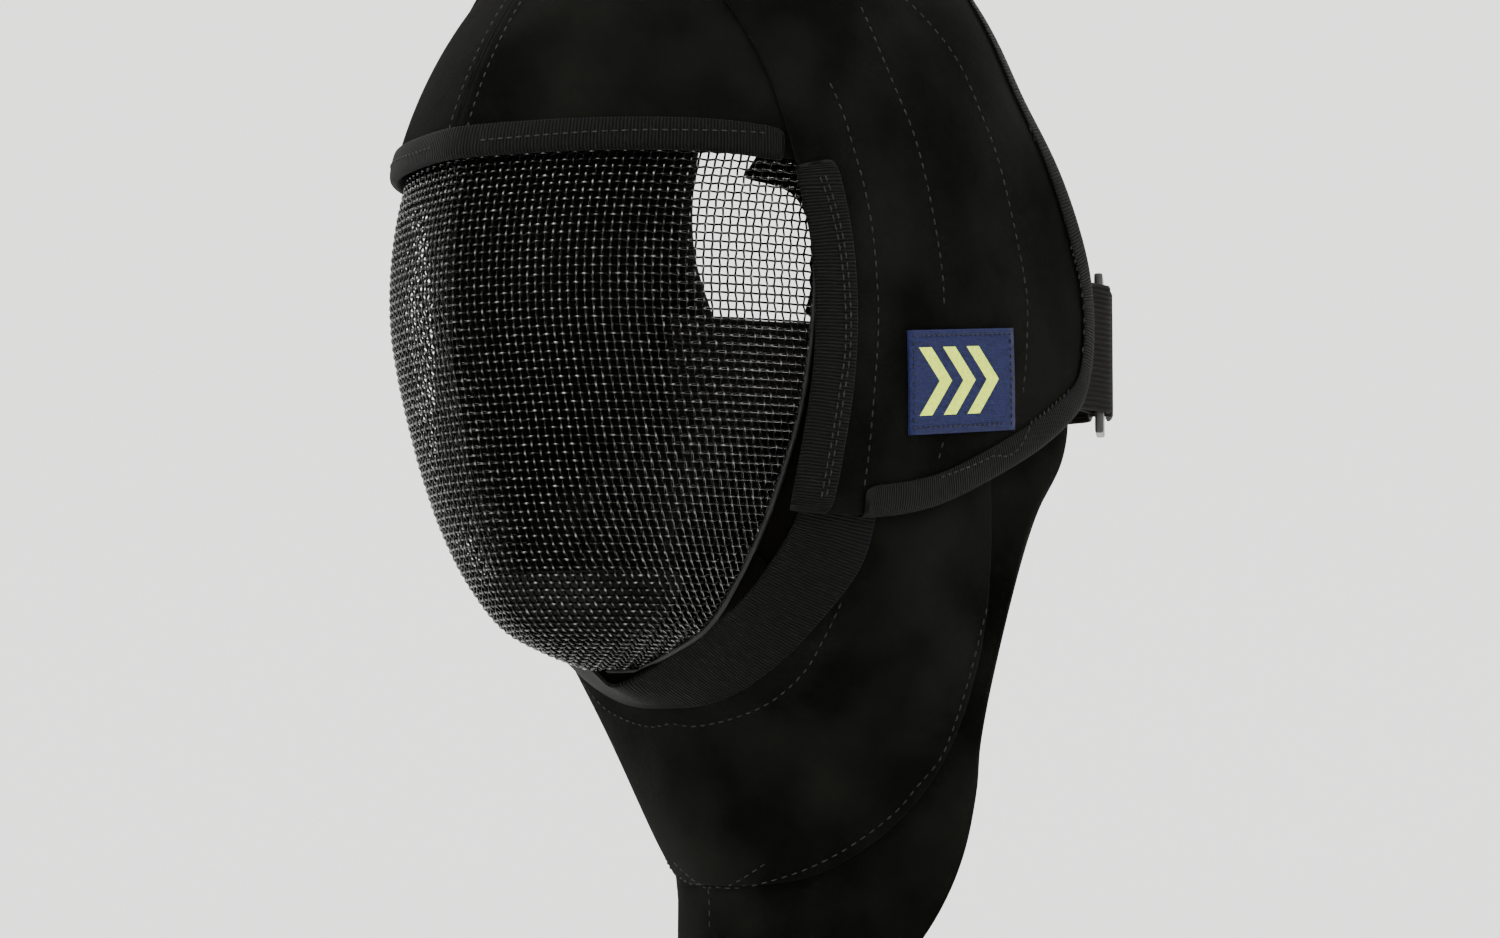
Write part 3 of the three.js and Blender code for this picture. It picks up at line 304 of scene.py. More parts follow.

# %% [markdown]
# The hood is four panels of suede, with a smooth strip on each side of the wire, and two layers
# hang down as the bib. The tongue behind the head and the pad inside the jaw are filled, so they
# get softer edges, while the flat panels keep theirs crisp.

# %% Hood, bib and padding
panels = {}
for hand in ("left", "right"):
    side_panel = "side_panel_" + hand
    panels[hand] = soft_piece("hood_side_" + hand, side_panel, SUEDE, crease=0.9)
    soft_piece("hood_forehead_" + hand, "forehead_panel_" + hand, SUEDE, crease=0.9)
    soft_piece("strip_beside_wire_" + hand, "mesh_edge_strip_" + hand, SMOOTH, crease=0.9)
soft_piece("bib_over", "bib_upper", BIB_SUEDE, levels=3, crease=0.9)
soft_piece("bib_under", "bib_lower", BIB_SUEDE, levels=3, crease=0.9)
soft_piece("tongue", "back_tongue", SMOOTH, crease=0.5)
soft_piece("jaw_pad", "chin_pad", PADDING)
print("leather pieces made")

# %% [markdown]
# The cords of a tape lie across it wherever it turns, so every point of a tape needs its length
# along it. Unwrapping could give that, by hand for each tape. Instead, a line of points runs down
# the middle of each one, and a point takes the length at the nearest place on that line. The front
# and edge lines are seen from the side, and the jaw's lies halfway between the tape's two edges.

# %% Lengths along the tapes
HOOD_HALF_WIDTH, SETBACK, CHIN = 0.105, 0.051, 0.319
FRONT_LINE = [(-0.0614, -0.120), (-0.0584, -0.142), (-0.0544, -0.163), (-0.053, -0.2),
              (-0.0554, -0.231), (-0.0569, -0.262)]
EDGE_LINE = [(-0.05, -0.257), (-0.0225, -0.2565), (0.012, -0.2506), (0.044, -0.2377),
             (0.07, -0.2256), (0.093, -0.211), (0.102, -0.197), (0.1045, -0.18), (0.1026, -0.162),
             (0.091, -0.136), (0.082, -0.108), (0.076, -0.08), (0.071, -0.041), (0.067, 0.0)]
JAW_TOP = [(0.0, 1.135, 1.003), (0.15, 1.02, 0.978), (0.4, 0.97, 0.932), (0.56, 0.96, 0.902),
           (0.71, 0.96, 0.858), (0.84, 0.96, 0.805), (0.885, 0.96, 0.755)]
JAW_LOW = [(0.0, 0.56, 1.022), (0.18, 0.52, 1.02), (0.37, 0.49, 1.0), (0.55, 0.46, 0.964),
           (0.71, 0.4, 0.916), (0.84, 0.29, 0.858), (0.88, 0.22, 0.785)]


def along_line(corners):
    def measure(place):
        best, run, found = 1e9, 0.0, 0.0
        for a, b in zip(corners, corners[1:]):
            step = b - a
            share = max(0.0, min(1.0, (place - a).dot(step) / step.length_squared))
            away = (place - (a + step * share)).length
            if away < best:
                best, found = away, run + step.length * share
            run += step.length
        return found

    return measure


def along_side(line):
    measure = along_line([Vector((0, y, z)) for y, z in line])
    return lambda place: measure(Vector((0, place.y, place.z)))


jaw_left = [Vector(((a[0] + b[0]) / 2 * HOOD_HALF_WIDTH, -(a[1] + b[1]) / 2 * SETBACK,
                    -(a[2] + b[2]) / 2 * CHIN)) for a, b in zip(JAW_TOP, JAW_LOW)]
jaw_right = [Vector((-p.x, p.y, p.z)) for p in reversed(jaw_left[1:])]
front_run, edge_run = along_side(FRONT_LINE), along_side(EDGE_LINE)
jaw_run = along_line(jaw_right + jaw_left)
print("jaw tape", round(jaw_run(jaw_left[-1]), 3), "m along its middle")

# %% [markdown]
# A tape is folded round the cut edge of each panel and sewn through. The fold could be drawn here,
# but the solid has it already. The brow tape runs round the head, so its length is its bearing
# times the head's radius, and the upright webbing is measured straight down.

# %% Tapes and strap
BROW_RADIUS = 0.128
tapes = {}
for hand in ("left", "right"):
    tapes["front_" + hand] = soft_piece("front_tape_" + hand, "side_front_binding_" + hand, TAPE,
                                        measure=front_run)
    tapes["edge_" + hand] = soft_piece("edge_tape_" + hand, "side_edge_binding_" + hand, TAPE,
                                       measure=edge_run)
tapes["brow"] = soft_piece("brow_tape", "forehead_binding", TAPE,
                           measure=lambda p: math.atan2(p.x, -p.y) * BROW_RADIUS)
tapes["jaw"] = soft_piece("jaw_tape", "chin_tape", WIDE_TAPE, 3, 0.7, jaw_run)
soft_piece("strap", "rear_strap", WEBBING, crease=0.9, measure=lambda p: p.z)
soft_piece("strap_tab", "buckle_tab", WEBBING, crease=0.9, measure=lambda p: p.z)
print("tapes:", len(tapes))

# %% [markdown]
# The slide buckle is moulded, so all its edges are rounded. A subdivision surface would melt its
# bars, so one bevel on the merged copy rounds the edges and leaves the flats flat.

# %% Buckle
SHARP, ROUNDING = 0.5, 0.0009
bm = merged_copy("buckle")
sharp = [e for e in bm.edges if len(e.link_faces) == 2 and e.calc_face_angle() > SHARP]
bmesh.ops.bevel(bm, geom=sharp, offset=ROUNDING, offset_type="OFFSET", affect="EDGES", segments=3,
                profile=0.5, material=-1)
buckle = finish_piece("slide_buckle", bm, PLASTIC, ("buckle",))
print("buckle:", len(sharp), "edges rounded,", len(buckle.data.polygons), "faces")

# %% [markdown]
# The face is woven wire, pressed into a basket with a shallow ridge. Its solid is a coarse net, too
# open to read a smooth form from, so the form is written again as a table of level sections. Each
# row gives the share of the way down the ridge, then shares of the drop, width, reach and ridge.
# A smooth curve through each column fills in the rows between.

# %% Table of the wire face
FACE = [  # along, drop, width, reach, ridge
    (0.0, 0.366, 0.94, 0.925, 1.2), (0.1, 0.44, 0.968, 0.978, 1.1), (0.19, 0.511, 0.98, 1.0, 1.0),
    (0.28, 0.58, 0.975, 1.0, 1.0), (0.355, 0.637, 0.952, 0.979, 1.0),
    (0.43, 0.694, 0.912, 0.947, 0.9), (0.51, 0.754, 0.838, 0.919, 0.8),
    (0.6, 0.817, 0.738, 0.877, 0.6), (0.69, 0.877, 0.618, 0.817, 0.5),
    (0.79, 0.931, 0.467, 0.725, 0.4), (0.89, 0.96, 0.27, 0.61, 0.2), (1.0, 0.979, 0.09, 0.48, 0.0)]


def column(place, k):
    """Column k of the table at a share of the way down, on a smooth curve through the rows."""
    i = 0
    while i < len(FACE) - 2 and place > FACE[i + 1][0]:
        i += 1
    span = FACE[i + 1][0] - FACE[i][0]
    t = max(0.0, min(1.0, (place - FACE[i][0]) / span))

    def slope(j):
        a, b = FACE[max(j - 1, 0)], FACE[min(j + 1, len(FACE) - 1)]
        return (b[k] - a[k]) / (b[0] - a[0]) * span

    return (FACE[i][k] * (2 * t**3 - 3 * t**2 + 1) + slope(i) * (t**3 - 2 * t**2 + t)
            + FACE[i + 1][k] * (3 * t**2 - 2 * t**3) + slope(i + 1) * (t**3 - t**2))


print("face table:", len(FACE), "rows, chin", round(column(1.0, 1) * CHIN, 3), "m below the crown")

# %% [markdown]
# Seen from above, a level section of the basket is fuller than an ellipse, with a low ridge in the
# middle. Points could be listed for it, but a power of the sine and cosine gives that fullness with
# one number. Only the left half is made, from the ridge to where the section meets the rim.

# %% Level sections
HALF_WIDTH, REACH, RIDGE, RIDGE_SPREAD, FULLNESS = 0.1045, 0.142, 0.005, 0.05, 2.16
SECTION_STEPS, LEVELS = 90, 260


def section(along):
    """Half a level section of the face, from the ridge to the left rim."""
    drop, width, reach, ridge = (column(along, k) for k in (1, 2, 3, 4))
    smooth_reach = REACH * reach - RIDGE * ridge
    power = 2 / FULLNESS
    rim = math.acos(min(SETBACK / smooth_reach, 0.999) ** (1 / power))
    points = []
    for i in range(SECTION_STEPS + 1):
        turn = rim * i / SECTION_STEPS
        x = HALF_WIDTH * width * math.sin(turn) ** power
        rise = RIDGE * ridge * max(0.0, 1 - x / RIDGE_SPREAD) ** 2
        points.append(Vector((x, -smooth_reach * math.cos(turn) ** power - rise, -CHIN * drop)))
    return points


sheet_rows = [section(j / LEVELS) for j in range(LEVELS + 1)]
print("face form:", len(sheet_rows), "level sections of", len(sheet_rows[0]), "points")

# %% [markdown]
# Real wires keep their distance from each other, also where the basket curves. A grid stretched
# over the form would crowd them at the chin. So half a pitch is stepped off down the ridge and
# along every section, the weave stays square in front, and the rim cuts it off, as pressed cloth.

# %% Grid of the weave
WIRE_PITCH = 0.00305
half_pitch = WIRE_PITCH / 2


def run_of(points):
    runs = [0.0]
    for a, b in zip(points, points[1:]):
        runs.append(runs[-1] + (b - a).length)
    return runs


def at_run(points, runs, run):
    k = 1
    while k < len(runs) - 1 and runs[k] < run:
        k += 1
    t = (run - runs[k - 1]) / max(runs[k] - runs[k - 1], 1e-9)
    return points[k - 1].lerp(points[k], max(0.0, min(1.0, t)))


ridge_runs = run_of([row[0] for row in sheet_rows])


def level_row(run):
    """The level section at a run down the ridge."""
    k = 0
    while k < LEVELS - 1 and ridge_runs[k + 1] < run:
        k += 1
    share = (run - ridge_runs[k]) / (ridge_runs[k + 1] - ridge_runs[k])
    return section((k + share) / LEVELS)


level_count = int(ridge_runs[-1] / half_pitch)
lattice = []
for j in range(level_count + 1):
    row = level_row(j * half_pitch)
    runs = run_of(row)
    steps = int(runs[-1] / half_pitch) + 1
    lattice.append([at_run(row, runs, i * half_pitch) for i in range(steps)] + [row[-1]])
print("ridge length", round(ridge_runs[-1], 4), "with", level_count, "half pitches")

# %% [markdown]
# A wire is drawn as a six-sided tube. A curve with a bevel would be shorter to write, but a tube of
# our own can keep the crown value at each ring for the painted highlight in the wire finish.


# %% Tubes
TUBE_SIDES = 6


def wire_tubes(lines, radius):
    """Tubes along lines of (place, crown), with the crown kept for the finish."""
    bm = bmesh.new()
    layer = bm.verts.layers.float.new("crown")
    for line in lines:
        last, side = None, None
        for k, (place, crown) in enumerate(line):
            ahead = (line[min(k + 1, len(line) - 1)][0] - line[max(k - 1, 0)][0]).normalized()
            side = ahead.orthogonal() if side is None else side - ahead * side.dot(ahead)
            side.normalize()
            other = ahead.cross(side)
            ring = []
            for n in range(TUBE_SIDES):
                turn = math.tau * n / TUBE_SIDES
                spoke = side * math.cos(turn) + other * math.sin(turn)
                vert = bm.verts.new(place + spoke * radius)
                vert[layer] = crown
                ring.append(vert)
            if last:
                for n in range(TUBE_SIDES):
                    after = (n + 1) % TUBE_SIDES
                    bm.faces.new((last[n], last[after], ring[after], ring[n]))
            else:
                bm.faces.new(ring[::-1])
            last = ring
        bm.faces.new(last)
    return bm


print("tubes have", TUBE_SIDES, "sides")

# %% [markdown]
# In a plain weave every wire goes over and under its neighbours in turn. Straight wires would cut
# through each other, so each one swings out and in by a crimp, one way on even wires and the other
# way on odd ones. The same swing is the crown value, which paints a highlight where wires ride high.

# %% Over and under
WIRE_RADIUS, CRIMP = 0.00043, 0.00062
ACROSS_RIDGE = Vector((1, 0.25, 0))


def outward(j, i):
    row = lattice[j]
    across = ACROSS_RIDGE if i == 0 else row[min(i + 1, len(row) - 1)] - row[max(i - 1, 0)]
    above, under = lattice[max(j - 1, 0)], lattice[min(j + 1, level_count)]
    down = under[min(i, len(under) - 1)] - above[min(i, len(above) - 1)]
    normal = across.cross(down).normalized()
    return normal if normal.y < 0 or normal.x > 0 else -normal


def woven(j, i, step, number):
    """A point of a wire and its crown: step counts along the wire, number counts the wires."""
    swing = math.cos(math.pi * step / 2) * (1 if number % 2 else -1)
    return lattice[j][i] + outward(j, i) * (CRIMP * swing - WIRE_RADIUS), swing


print("wires", WIRE_RADIUS * 2000, "mm thick, crimped by", CRIMP * 1000, "mm")

# %% [markdown]
# The grid has a point at every half pitch, so every second row holds a level wire and every second
# column an upright one. A column can leave the basket through the rim and come back, so its line is
# cut there. The right half mirrors the left, and shares the upright wire on the ridge with it.

# %% Weave
mirror = Matrix.Scale(-1, 4, Vector((1, 0, 0)))
level_lines, upright_lines = [], []
for j in range(0, level_count + 1, 2):
    level_lines.append([woven(j, i, i, j // 2) for i in range(len(lattice[j]))])
for i in range(0, max(len(row) for row in lattice), 2):
    line = []
    for j in range(level_count + 1):
        if i < len(lattice[j]) - 1:
            line.append(woven(j, i, j, i // 2 + 1))
        else:
            upright_lines.append(line)
            line = []
    upright_lines.append(line)
for kind, lines in (("level", level_lines), ("upright", upright_lines)):
    lines = [line for line in lines if len(line) > 2]
    for hand in ("left", "right"):
        if hand == "right":
            lines = [[(mirror @ p, swing) for p, swing in line] for line in lines]
            if kind == "upright":
                lines = lines[1:]
        made = finish_piece(f"{kind}_wires_{hand}", wire_tubes(lines, WIRE_RADIUS), WIRE)
        print(made.name, len(lines), "wires", len(made.data.polygons), "faces")
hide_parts("face_mesh")

# %% [markdown]
# The cut ends of the wire are held by a rolled rim all round the basket. It could be a swept
# circle, and the tube helper gives the same with no new code. It follows the last point of every
# fourth level section, down the left side and up the right.

# %% Rim
RIM_RADIUS = 0.0013
rim_path = [row[-1] for row in sheet_rows[::4]]
rim_path = rim_path + [mirror @ p for p in reversed(rim_path)]
finish_piece("wire_rim", wire_tubes([[(p, 0.0) for p in rim_path]], RIM_RADIUS), RIM)
print("rim:", len(rim_path), "points")

# %% [markdown]
# Seams make leather look sewn, and their rows must lie where the real ones do. They could be
# placed by measure, but the photograph already shows them. So a row is a short list of its pixels,
# and a ray from the camera through each pixel finds the point on the piece itself.

# %% Rows read from the photograph
RIGHT = Vector((math.cos(BEARING), math.sin(BEARING), 0))
UP = RIGHT.cross(-back)


def surface_of(*things):
    vertices, faces = [], []
    depsgraph = bpy.context.evaluated_depsgraph_get()
    for thing in things:
        got = thing.evaluated_get(depsgraph).to_mesh()
        base = len(vertices)
        vertices += [v.co.copy() for v in got.vertices]
        faces += [[base + k for k in p.vertices] for p in got.polygons]
    return BVHTree.FromPolygons(vertices, faces)


def read_rows(surface, rows):
    """Where the camera rays through rows of photo pixels meet a surface."""
    found = []
    for row in rows:
        hits = []
        for px, py in row:
            right = RIGHT * ((px - PHOTO_MIDDLE[0]) / PIXELS_PER_METRE)
            up = UP * ((py - PHOTO_MIDDLE[1]) / PIXELS_PER_METRE)
            sight = AIM + right - up - camera.location
            hits.append(surface.ray_cast(camera.location, sight.normalized())[0])
        found.append([p for p in hits if p])
    return found


print("one photo pixel is", round(1000 / PIXELS_PER_METRE, 2), "mm at the mask")

# %% [markdown]
# Good sewing keeps its stitches even, so a row needs evenly spaced points. A smooth curve through
# the few points of the row is stepped off at the length of a stitch and its gap.

# %% Even path
PATH_STEPS = 12


def smooth_path(points, step):
    """Evenly spaced points on a smooth line through the given ones."""
    dense = []
    for k in range(len(points) - 1):
        a, b = points[max(k - 1, 0)], points[k]
        c, d = points[k + 1], points[min(k + 2, len(points) - 1)]
        for i in range(PATH_STEPS):
            t = i / PATH_STEPS
            dense.append(0.5 * ((2 * b) + (c - a) * t + (2 * a - 5 * b + 4 * c - d) * t * t
                                + (3 * b - a - 3 * c + d) * t**3))
    dense.append(points[-1])
    runs = run_of(dense)
    return [at_run(dense, runs, step * n) for n in range(int(runs[-1] / step) + 1)]


print("paths have", PATH_STEPS, "steps between two points")

# %% [markdown]
# Stitches could be painted on as a dashed line, but real thread stands up and catches the light.
# So a stitch is a small ball, stretched along the row, flattened to a thread's thickness and sunk a
# little into the surface. The far side gets the mirrored row, laid on its own surface.

# %% Sewing
STITCH_STEP, TAPE_STEP = 0.0042, 0.0036
STITCH_LENGTH, THREAD_RADIUS, THREAD_RISE = 0.0026, 0.00034, 0.35


def sew(bm, surface, path, length):
    for a, b in zip(path, path[1:]):
        place, normal, _, _ = surface.find_nearest(a)
        tangent = (b - a).normalized()
        side = normal.cross(tangent).normalized()
        turn = Matrix((tangent, side, normal)).transposed().to_4x4()
        size = Matrix.Diagonal((length / 2, THREAD_RADIUS, THREAD_RADIUS, 1))
        spot = Matrix.Translation(place + normal * THREAD_RADIUS * THREAD_RISE) @ turn @ size
        bmesh.ops.create_uvsphere(bm, u_segments=6, v_segments=4, radius=1.0, matrix=spot)


def sew_rows(thing, near, far, rows, step=STITCH_STEP, length=STITCH_LENGTH):
    """Stitches along rows on the near surface, and their mirror images on the far one."""
    bm = bmesh.new()
    for row in rows:
        path = smooth_path(row, step)
        sew(bm, near, path, length)
        if far:
            sew(bm, far, [mirror @ p for p in path], length)
    bmesh.ops.recalc_face_normals(bm, faces=bm.faces)
    made = finish_piece(thing, bm, THREAD)
    print(made.name, len(made.data.polygons), "faces")


print("stitches are", STITCH_LENGTH * 1000, "mm long")

# %% [markdown]
# Under the jaw a strip of facing closes the gap between the rim and the wide tape, so no light
# falls in. It could be a solid of its own, but it only bends along with both edges. A strip of
# quads from the rim to the nearest point of the tape does that, with a little thickness.

# %% Jaw facing
FACING_TOP, FACING_STEP, FACING_THICKNESS = -0.27, 0.004, 0.0012
tape_face = surface_of(tapes["jaw"])
bm = bmesh.new()
last = None
for place in smooth_path(rim_path, FACING_STEP):
    near = tape_face.find_nearest(place)[0]
    if place.z < FACING_TOP:
        ring = [bm.verts.new(place), bm.verts.new(place.lerp(near, 0.5)), bm.verts.new(near)]
        if last:
            bm.faces.new((last[0], last[1], ring[1], ring[0]))
            bm.faces.new((last[1], last[2], ring[2], ring[1]))
        last = ring
bmesh.ops.recalc_face_normals(bm, faces=bm.faces)
facing = finish_piece("jaw_facing", bm, SMOOTH)
thick = facing.modifiers.new("thickness", "SOLIDIFY")
thick.thickness, thick.offset = FACING_THICKNESS, 0.0
print("jaw facing:", len(facing.data.polygons), "faces")

# %% [markdown]
# The longest rows run down the side panels: one behind the front tape, one over the ear and one
# near the rear edge. Each list holds pixels of the photograph, from the top of a row down. The
# wearer's right side can't be seen, so it mirrors the left.

# %% Side seams
SIDE_ROWS = [
    [(831, 86), (844, 117), (854, 151), (862, 179), (870, 216), (874, 247), (877, 286), (878, 327),
     (874, 391), (867, 465), (862, 500)],
    [(862, 10), (880, 52), (896, 91), (912, 130), (925, 177), (934, 221), (942, 273), (944, 320)],
    [(942, 445), (934, 475)],
    [(906, 0), (938, 34), (961, 68), (982, 117), (994, 148), (1005, 187), (1013, 223), (1023, 273),
     (1027, 305), (1025, 369), (1020, 410)]]
hood = {hand: surface_of(panels[hand]) for hand in panels}
sew_rows("side_stitches", hood["left"], hood["right"], read_rows(hood["left"], SIDE_ROWS))

# %% [markdown]
# A tape is sewn through near its edge. The front tape has a double row, the edge and brow tapes
# have one. All could share one list, but a row reads best beside the surface that it is sewn on.
# Tape stitches are closer together than those in leather, because tape frays.

# %% Tape seams
FRONT_ROWS = [
    [(826, 178), (835, 205), (845, 250), (850, 300), (850, 350), (843, 400), (833, 460), (824, 508)],
    [(821, 180), (830, 206), (840, 250), (845, 300), (845, 350), (838, 400), (828, 460), (819, 508)]]
EDGE_ROW = [(1031, 130), (1044, 177), (1062, 229), (1072, 282), (1070, 316), (1066, 359),
            (1055, 394), (1028, 431), (990, 457), (960, 470), (930, 481)]
BROW_TAPE_ROW = [(483, 140), (530, 136), (586, 132), (640, 130), (690, 130), (735, 131), (775, 134)]
for name, rows in (("front", FRONT_ROWS), ("edge", [EDGE_ROW])):
    near, far = (surface_of(tapes[f"{name}_{hand}"]) for hand in ("left", "right"))
    sew_rows(f"{name}_tape_stitches", near, far, read_rows(near, rows), TAPE_STEP)
brow_tape = surface_of(tapes["brow"])
brow_tape_rows = read_rows(brow_tape, [BROW_TAPE_ROW])
sew_rows("brow_tape_stitches", brow_tape, brow_tape, brow_tape_rows, TAPE_STEP)

# %% [markdown]
# On the bib one seam follows the bulge under the jaw, and a long one shapes the front layer like a
# U. Both layers are read as one surface, because the rows pass from one to the other. A short row
# runs down the middle below the U, where it needs no mirror image.

# %% Bib seams
BIB_ROWS = [
    [(676, 724), (698, 726), (734, 718), (772, 701), (804, 672), (823, 640), (836, 614), (846, 590)],
    [(676, 864), (698, 883), (734, 888), (759, 884), (804, 870), (852, 845), (894, 813),
     (919, 784), (942, 755), (961, 704), (980, 634), (991, 570)]]
BIB_MIDDLE = [(709, 891), (710, 937)]
bib = surface_of(bpy.data.objects["bib_over"], bpy.data.objects["bib_under"])
sew_rows("bib_stitches", bib, bib, read_rows(bib, BIB_ROWS))
sew_rows("bib_middle_stitches", bib, None, read_rows(bib, [BIB_MIDDLE]))

# %% [markdown]
# Over the crown the two halves of the hood meet. The photograph cuts the crown off, so this row
# isn't read from it. Rays from outside, aimed at the inside of the head, find the surface instead,
# a few millimetres beside the middle. A thin welt of suede lies in the seam itself.

# %% Crown seam and welt
HEAD_MIDDLE, OUTSIDE = Vector((0, 0.03, -0.14)), 0.4
BESIDE_SEAM, BESIDE_WELT, WELT_RADIUS, WELT_SUNK = 0.0048, 0.0022, 0.0015, 0.0009


def over_crown(surface, beside, turns):
    """Points on the hood beside its middle, at turns in degrees from the front over the top."""
    points = []
    for turn in turns:
        sight = Vector((0, -math.cos(math.radians(turn)), math.sin(math.radians(turn))))
        hit = surface.ray_cast(HEAD_MIDDLE + Vector((beside, 0, 0)) + sight * OUTSIDE, -sight)[0]
        if hit and (hit - HEAD_MIDDLE).dot(sight) > 0:
            points.append(hit)
    return points


brow = surface_of(*(bpy.data.objects["hood_forehead_" + hand] for hand in ("left", "right")))
brow_row = over_crown(brow, BESIDE_SEAM, range(0, 100, 4))
sew_rows("brow_stitches", brow, brow, [brow_row])
whole = surface_of(*(bpy.data.objects[name + hand]
                     for name in ("hood_forehead_", "hood_side_", "edge_tape_")
                     for hand in ("left", "right")))
seam_row = [Vector((0, p.y, p.z)) for p in over_crown(whole, BESIDE_WELT, range(0, 170, 3))]
welt = [(p - (p - HEAD_MIDDLE).normalized() * WELT_SUNK, 0.0) for p in smooth_path(seam_row, 0.004)]
finish_piece("crown_welt", wire_tubes([welt], WELT_RADIUS), SUEDE)
print(len(brow_row), "points on the brow seam,", len(seam_row), "on the welt")

# %% [markdown]
# The label is woven: a navy ground with three lime chevrons, a plain design of its own. It could be
# a picture, but three comparisons draw it in nodes. A slanted coordinate makes chevrons out of
# straight bars, and two limits cut them to size. A mapping node turns it to lie square on the label.

# %% Label finish
LABEL_PLACE, LABEL_TURN = Vector((0, 0.019, -0.205)), math.radians(5.5)
SLANT, BAR_PITCH, BAR_SHARE = 0.9, 0.0135, 0.52
MOTIF_HALF_HEIGHT, MOTIF_HALF_WIDTH, MOTIF_SHIFT = 0.0125, 0.0195, -0.0052
WEFT_PITCH = 0.0007
LABEL, tree, shader = start_finish("woven_label", 0.75, sheen=0.02, gloss=0.1)
place = node(tree, "TexCoord")
turned = node(tree, "Mapping", vector_type="TEXTURE")
turned.inputs["Location"].default_value = LABEL_PLACE
turned.inputs["Rotation"].default_value = (LABEL_TURN, 0, 0)
tree.links.new(place.outputs["Object"], turned.inputs["Vector"])
parts = node(tree, "SeparateXYZ")
tree.links.new(turned.outputs["Vector"], parts.inputs["Vector"])


def sums(kind, *values):
    return maths(tree, kind, *values)


high = sums("ABSOLUTE", parts.outputs["Z"])
slanted = sums("ADD", parts.outputs["Y"], sums("MULTIPLY", high, SLANT))
bars = sums("LESS_THAN", sums("FRACT", sums("MULTIPLY", slanted, 1 / BAR_PITCH)), BAR_SHARE)
inside_high = sums("LESS_THAN", high, MOTIF_HALF_HEIGHT)
off_middle = sums("ABSOLUTE", sums("ADD", slanted, MOTIF_SHIFT))
inside_wide = sums("LESS_THAN", off_middle, MOTIF_HALF_WIDTH)
motif = sums("MULTIPLY", bars, sums("MULTIPLY", inside_high, inside_wide))
weft = sums("SINE", sums("MULTIPLY", parts.outputs["Z"], math.tau / WEFT_PITCH))
speckle = noise(tree, scale=700, detail=2)
ground = ramp(tree, speckle, [(0.3, (0.0035, 0.0048, 0.024)), (0.7, (0.008, 0.011, 0.045))])
lime = ramp(tree, speckle, [(0.3, (0.42, 0.55, 0.03)), (0.7, (0.58, 0.7, 0.06))])
mix = node(tree, "Mix", data_type="RGBA")
sockets = [s for s in mix.inputs if s.type == "RGBA"]
tree.links.new(motif, mix.inputs["Factor"])
tree.links.new(ground, sockets[0])
tree.links.new(lime, sockets[1])
tree.links.new([s for s in mix.outputs if s.type == "RGBA"][0], shader.inputs["Base Color"])
raised = sums("ADD", sums("MULTIPLY", weft, 0.3), motif)
tree.links.new(bump(tree, raised, distance=0.0003, strength=0.6), shader.inputs["Normal"])
print("label finish made")

# %% [markdown]
# The label is sewn on with short close stitches all round. Its corners are given in its own width
# and height, turned like the chevrons, and rays from the wearer's left find it on the panel.

# %% Label and its stitches
LABEL_HALF_LENGTH, LABEL_HALF_HEIGHT, POINTS_A_SIDE, BESIDE_HEAD = 0.0278, 0.0168, 5, 0.2
label = surface_of(soft_piece("woven_label", "label", LABEL, crease=1.0))
corners = [(u * LABEL_HALF_LENGTH, v * LABEL_HALF_HEIGHT)
           for u, v in ((-1, -1), (1, -1), (1, 1), (-1, 1), (-1, -1))]
border = []
for (u, v), (u2, v2) in zip(corners, corners[1:]):
    side_row = []
    for k in range(POINTS_A_SIDE + 1):
        spot = Vector((0, u + (u2 - u) * k / POINTS_A_SIDE, v + (v2 - v) * k / POINTS_A_SIDE))
        start = LABEL_PLACE + Matrix.Rotation(LABEL_TURN, 3, "X") @ spot
        start.x = BESIDE_HEAD
        side_row.append(label.ray_cast(start, Vector((-1, 0, 0)))[0])
    border.append(side_row)
sew_rows("label_stitches", label, None, border, 0.0028, 0.0019)

# %% [markdown]
# A studio shot stands on a floor without a visible end. A plain plane would show a horizon, so a
# flat round floor bends up into a wall on every side. It is one profile, spun round the middle.

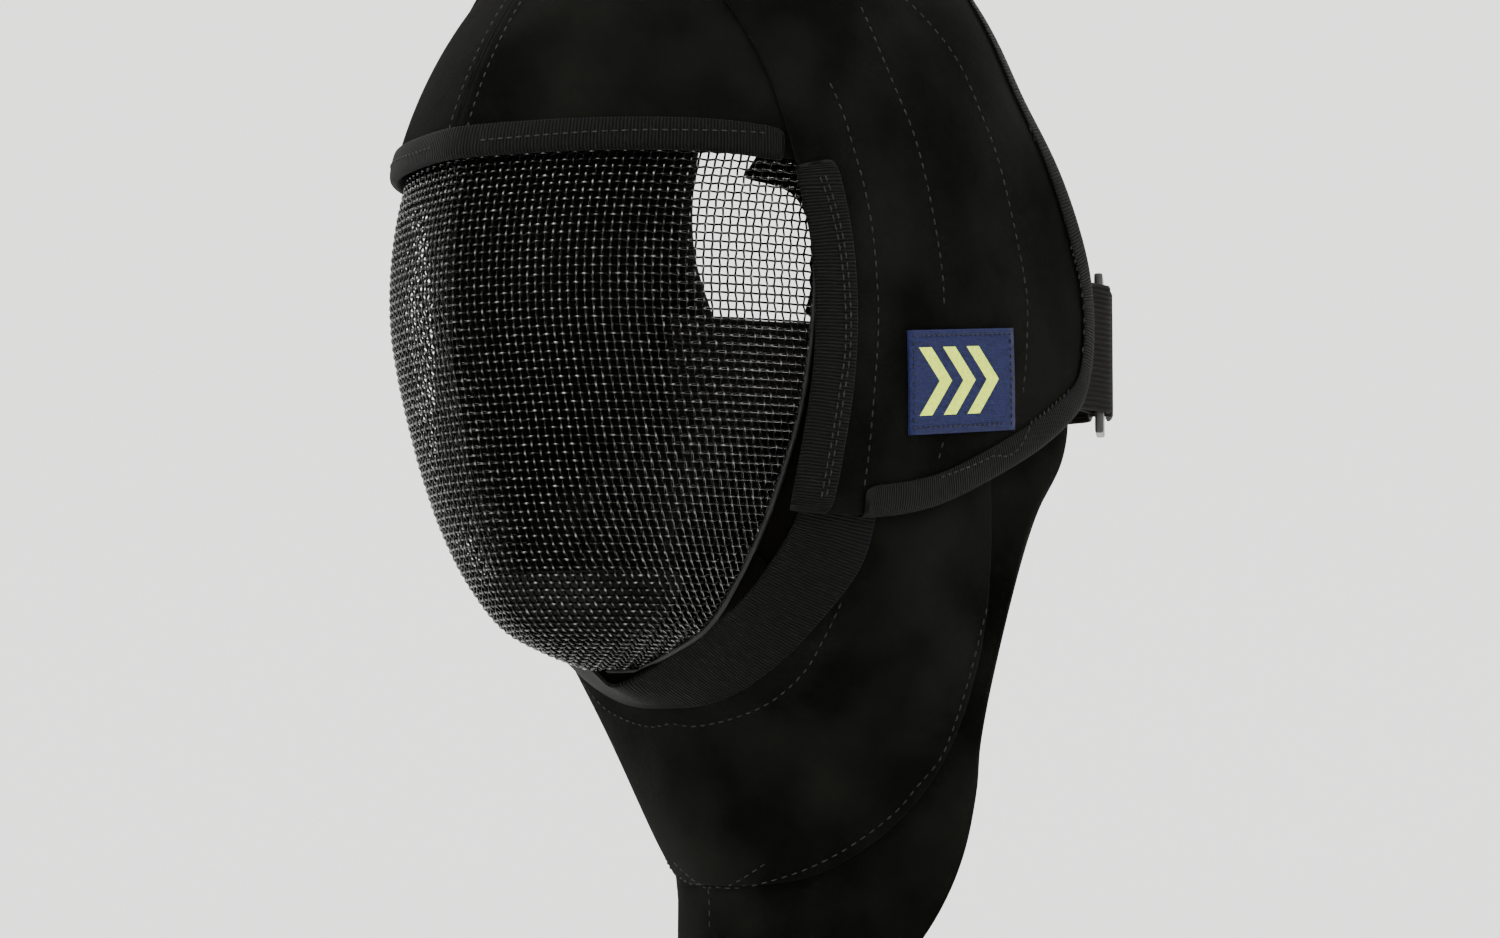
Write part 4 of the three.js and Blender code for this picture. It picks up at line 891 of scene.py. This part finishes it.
# %% Floor
FLOOR, WALL, WALL_TOP, FOOT = -0.62, 9.0, 5.0, 3.0
BEND_STEPS, SPIN_STEPS = 12, 96
bm = bmesh.new()
profile = [bm.verts.new((0, 0, FLOOR)), bm.verts.new((WALL - FOOT, 0, FLOOR))]
for k in range(1, BEND_STEPS + 1):
    turn = math.pi / 2 * k / BEND_STEPS
    out, rise = FOOT * math.sin(turn), FOOT - FOOT * math.cos(turn)
    profile.append(bm.verts.new((WALL - FOOT + out, 0, FLOOR + rise)))
profile.append(bm.verts.new((WALL, 0, WALL_TOP)))
edges = [bm.edges.new(pair) for pair in zip(profile, profile[1:])]
bmesh.ops.spin(bm, geom=profile + edges, cent=(0, 0, 0), axis=(0, 0, 1), angle=math.tau,
               steps=SPIN_STEPS, use_merge=True)
bmesh.ops.remove_doubles(bm, verts=bm.verts, dist=0.0001)
bmesh.ops.recalc_face_normals(bm, faces=bm.faces)
bmesh.ops.reverse_faces(bm, faces=bm.faces)
floor_mesh = bpy.data.meshes.new("floor")
bm.to_mesh(floor_mesh)
bm.free()
for face in floor_mesh.polygons:
    face.use_smooth = True
floor = bpy.data.objects.new("floor", floor_mesh)
bpy.context.scene.collection.objects.link(floor)
PALE, tree, shader = start_finish("pale_floor", 0.9)
shader.inputs["Base Color"].default_value = (0.9, 0.9, 0.89, 1)
floor_mesh.materials.append(PALE)
print("floor:", len(floor_mesh.polygons), "faces")

# %% [markdown]
# A product studio lights black cloth mostly from all round, or it would be a flat hole in the
# picture. A strong pale sky does that here. A soft box in front and above shapes the face, a
# weaker one on the picture's right fills the side, and one behind draws the edge.


# %% Light
def soft_box(name, place, size, watts):
    light = bpy.data.objects.new(name, bpy.data.lights.new(name, "AREA"))
    bpy.context.scene.collection.objects.link(light)
    light.data.size = size
    light.data.energy = watts
    light.location = place
    light.rotation_mode = "QUATERNION"
    light.rotation_quaternion = (AIM - Vector(place)).to_track_quat("-Z", "Y")


world = bpy.data.worlds.new("studio")
world.use_nodes = True
sky = world.node_tree.nodes["Background"].inputs
sky["Color"].default_value = (0.9, 0.9, 0.9, 1)
sky["Strength"].default_value = 2.9
bpy.context.scene.world = world
soft_box("key", (0.1, -1.9, 1.5), size=0.8, watts=60)
soft_box("fill", (2.2, -0.6, 0.6), size=1.2, watts=20)
soft_box("rim", (-1.6, 1.2, 1.4), size=1.0, watts=30)
print("sky strength", round(sky["Strength"].default_value, 2))
